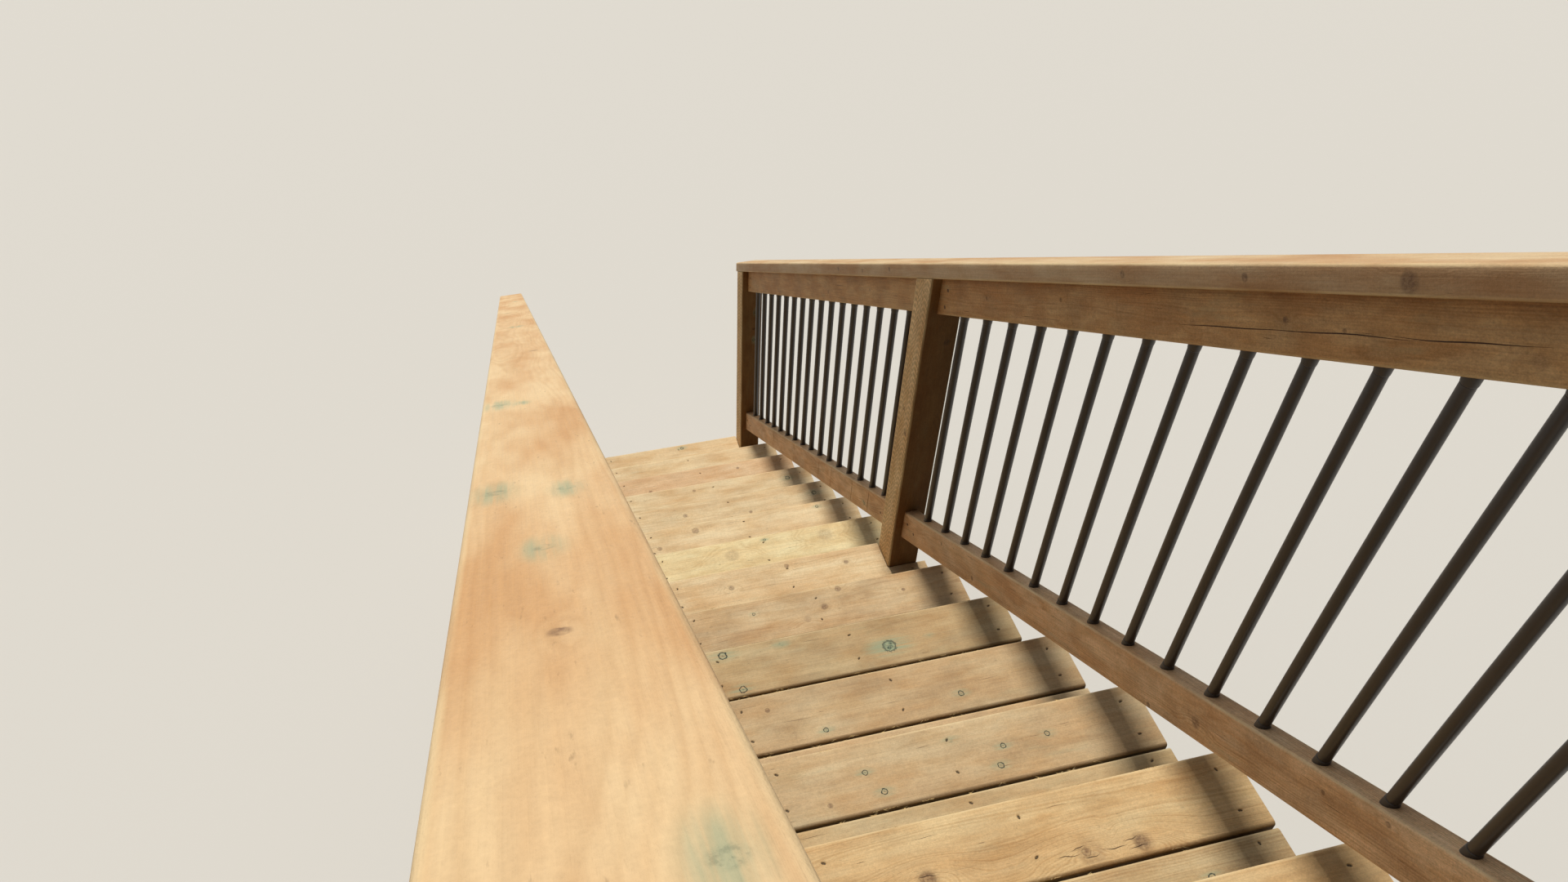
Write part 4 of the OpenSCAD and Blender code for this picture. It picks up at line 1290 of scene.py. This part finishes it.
# %% Hanger board
def plain_wood(name, hex_code, rough):
    """Softwood on object coordinates, fibres along x: rings as distances from a pith below, and streaks."""
    material, tree, shader = new_material(name)
    where = add(tree, "TexCoord", out="Object")
    fine = add(tree, "TexNoise", {"Vector": add(tree, "Mapping", {"Vector": where, "Scale": (9, 500, 500)}),
                                  "Scale": 1.0, "Detail": 3.0})
    broad = add(tree, "TexNoise", {"Vector": add(tree, "Mapping", {"Vector": where, "Scale": (2, 14, 14)}),
                                   "Scale": 1.0, "Detail": 2.0})
    pith = add(tree, "Mapping", {"Vector": where, "Location": (0, 0.07, 0.03), "Scale": (0, 1, 1)})
    reach = add(tree, "VectorMath", {0: pith}, **LENGTH)
    wander = add(tree, "Math", {0: broad, 1: 5.0}, **TIMES)
    reach = add(tree, "Math", {0: reach, 1: 1 / (RING_MM * MM), 2: wander}, **TIMES_PLUS)
    season = add(tree, "Math", {0: reach}, operation="FRACT")
    late = add(tree, "ValToRGB", {"Fac": season}, stops=((0.0, 0.8), (0.3, 1.0), (0.84, 0.6), (1.0, 0.8)))
    light = add(tree, "MapRange", {"Value": fine, LOW: 0.25, HIGH: 0.75, TO_LOW: 0.82, TO_HIGH: 1.12})
    light = add(tree, "Math", {0: light, 1: late}, **TIMES)
    colour = add(tree, "VectorMath", {0: tuple(linear(hex_code)), "Scale": light}, operation="SCALE")
    bump = add(tree, "Bump", {"Height": fine, "Distance": 0.4 * MM})
    fill(tree, shader, {"Base Color": colour, "Roughness": rough, "Normal": bump})
    return material


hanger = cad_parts["hanger_board"]
hanger.data.materials.clear()
hanger.data.materials.append(plain_wood("treated_fir_hanger", "#c7a473", 0.75))
print("hanger board keeps its solid with", len(hanger.data.polygons), "faces")

# %% [markdown]
# ## Floor and light
# A plain pale floor lies under the flight's feet. The flight is lit by one high, soft-edged sun that comes
# from downhill, so treads and caps are bright, the boards' uphill edges fall into shade and each railing
# shades the ends of the treads. A pale sky fills the shadows. It is strongest low down on the open side, and
# weakest uphill, where what carries such a flight would block it. Floor and sky look pale to the camera, in
# gloss and through glass, but light the object less than they would if they were as pale as they look.

# %% Stage
def sees_stage(tree):
    """1 on the rays that show floor or sky as they look: from the camera, off a gloss or through glass."""
    rays = add(tree, "LightPath", out=None)
    seen = rays.outputs["Is Camera Ray"]
    for name in ("Is Glossy Ray", "Is Transmission Ray"):
        seen = add(tree, "Math", {0: seen, 1: rays.outputs[name]}, operation="MAXIMUM")
    return seen


FLOOR_HALF = 14.0
floor_mesh = bpy.data.meshes.new("floor")
corners = np.array([[-1, -1], [1, -1], [1, 1], [-1, 1]]) * FLOOR_HALF
floor_mesh.from_pydata([(x, y - 2, foot_z) for x, y in corners], [], [(0, 1, 2, 3)])
floor = new_object("floor", floor_mesh)
floor_paint, tree, shader = new_material("pale_floor")
where = add(tree, "SeparateXYZ", {0: add(tree, "TexCoord", out="Object")}, out=None).outputs
uphill = add(tree, "MapRange", {"Value": where[1], LOW: -3.5, HIGH: -0.5})
bounce = add(tree, "Mix", {FACTOR: uphill, FIRST: rgba("#857b6c"), SECOND: rgba("#3b362f")}, **MIX_COLOUR)
paint = add(tree, "Mix", {FACTOR: sees_stage(tree), FIRST: bounce, SECOND: rgba("#d2cfc8")}, **MIX_COLOUR)
fill(tree, shader, {"Base Color": paint, "Roughness": 0.9})
floor_mesh.materials.append(floor_paint)

OPEN_SKY = (0.5, -0.85, -0.1)
SKY_LOOK = 0.8
world = bpy.data.worlds.new("sky")
bpy.context.scene.world = world
world.use_nodes = True
tree = world.node_tree
tree.nodes.clear()
towards = add(tree, "VectorMath", {0: add(tree, "TexCoord", out="Generated"), 1: OPEN_SKY}, out="Value",
              operation="DOT_PRODUCT")
open_side = add(tree, "MapRange", {"Value": towards, LOW: -0.25, HIGH: 0.7, TO_LOW: 0.02, TO_HIGH: 0.66})
strength = add(tree, "Mix", {FACTOR: sees_stage(tree), 2: open_side, 3: SKY_LOOK})
sky = add(tree, "Background", {"Color": (0.95, 0.97, 1.0, 1), "Strength": strength})
add(tree, "OutputWorld", {"Surface": sky}, out=None)

SUN_STRENGTH = 3.05
SUN_COLOUR = (1.0, 0.965, 0.91)
SUN_WIDTH = math.radians(5)
# From straight overhead: tilted downhill, and a hair outward
SUN_TILT = (math.radians(21), math.radians(0.1), 0)
sun_data = bpy.data.lights.new("sun", "SUN")
sun_data.energy, sun_data.color, sun_data.angle = SUN_STRENGTH, SUN_COLOUR, SUN_WIDTH
new_object("sun", sun_data).rotation_euler = SUN_TILT
print("floor at", round(foot_z, 3), "m, sun", sun_data.energy)

# %% [markdown]
# ## Camera
# The photograph was taken from the top of the flight, over the right-hand cap. Its camera was solved from
# the treads' noses, the posts and the rails, and is given here by its place and the three directions of its
# picture: to the right, down and ahead.

# %% Camera
PICTURE = (1920, 1080)
FOCAL_PX = 1390.3
CENTRE_PX = (884.6, 512.2)
CAMERA_PLACE = (0.5011, -0.0396, 1.4579)
TO_RIGHT = np.array([-0.9733, 0.22953, -0.00343])
TO_DOWN = np.array([0.16069, 0.6706, -0.72421])
AHEAD = np.array([-0.16393, -0.70542, -0.68957])
camera_data = bpy.data.cameras.new("camera")
camera = new_object("camera", camera_data)
turn = Matrix([TO_RIGHT, -TO_DOWN, -AHEAD]).transposed().to_4x4()
camera.matrix_world = Matrix.Translation(CAMERA_PLACE) @ turn
camera_data.sensor_width = 36.0
camera_data.lens = FOCAL_PX / PICTURE[0] * camera_data.sensor_width
camera_data.shift_x = (PICTURE[0] / 2 - CENTRE_PX[0]) / PICTURE[0]
camera_data.shift_y = (CENTRE_PX[1] - PICTURE[1] / 2) / PICTURE[0]
camera_data.clip_start = 0.02
camera_data.clip_end = 100.0
bpy.context.scene.camera = camera
bpy.context.scene.view_settings.view_transform = "Standard"
shift = (round(camera_data.shift_x, 4), round(camera_data.shift_y, 4))
print("camera lens", round(camera_data.lens, 2), "mm, shift", shift)

# %% [markdown]
# ## Triangles in all
# The triangles of all the pieces are added up and printed.

# %% Triangles in all
print("triangles in all:", sum(triangles.values()))
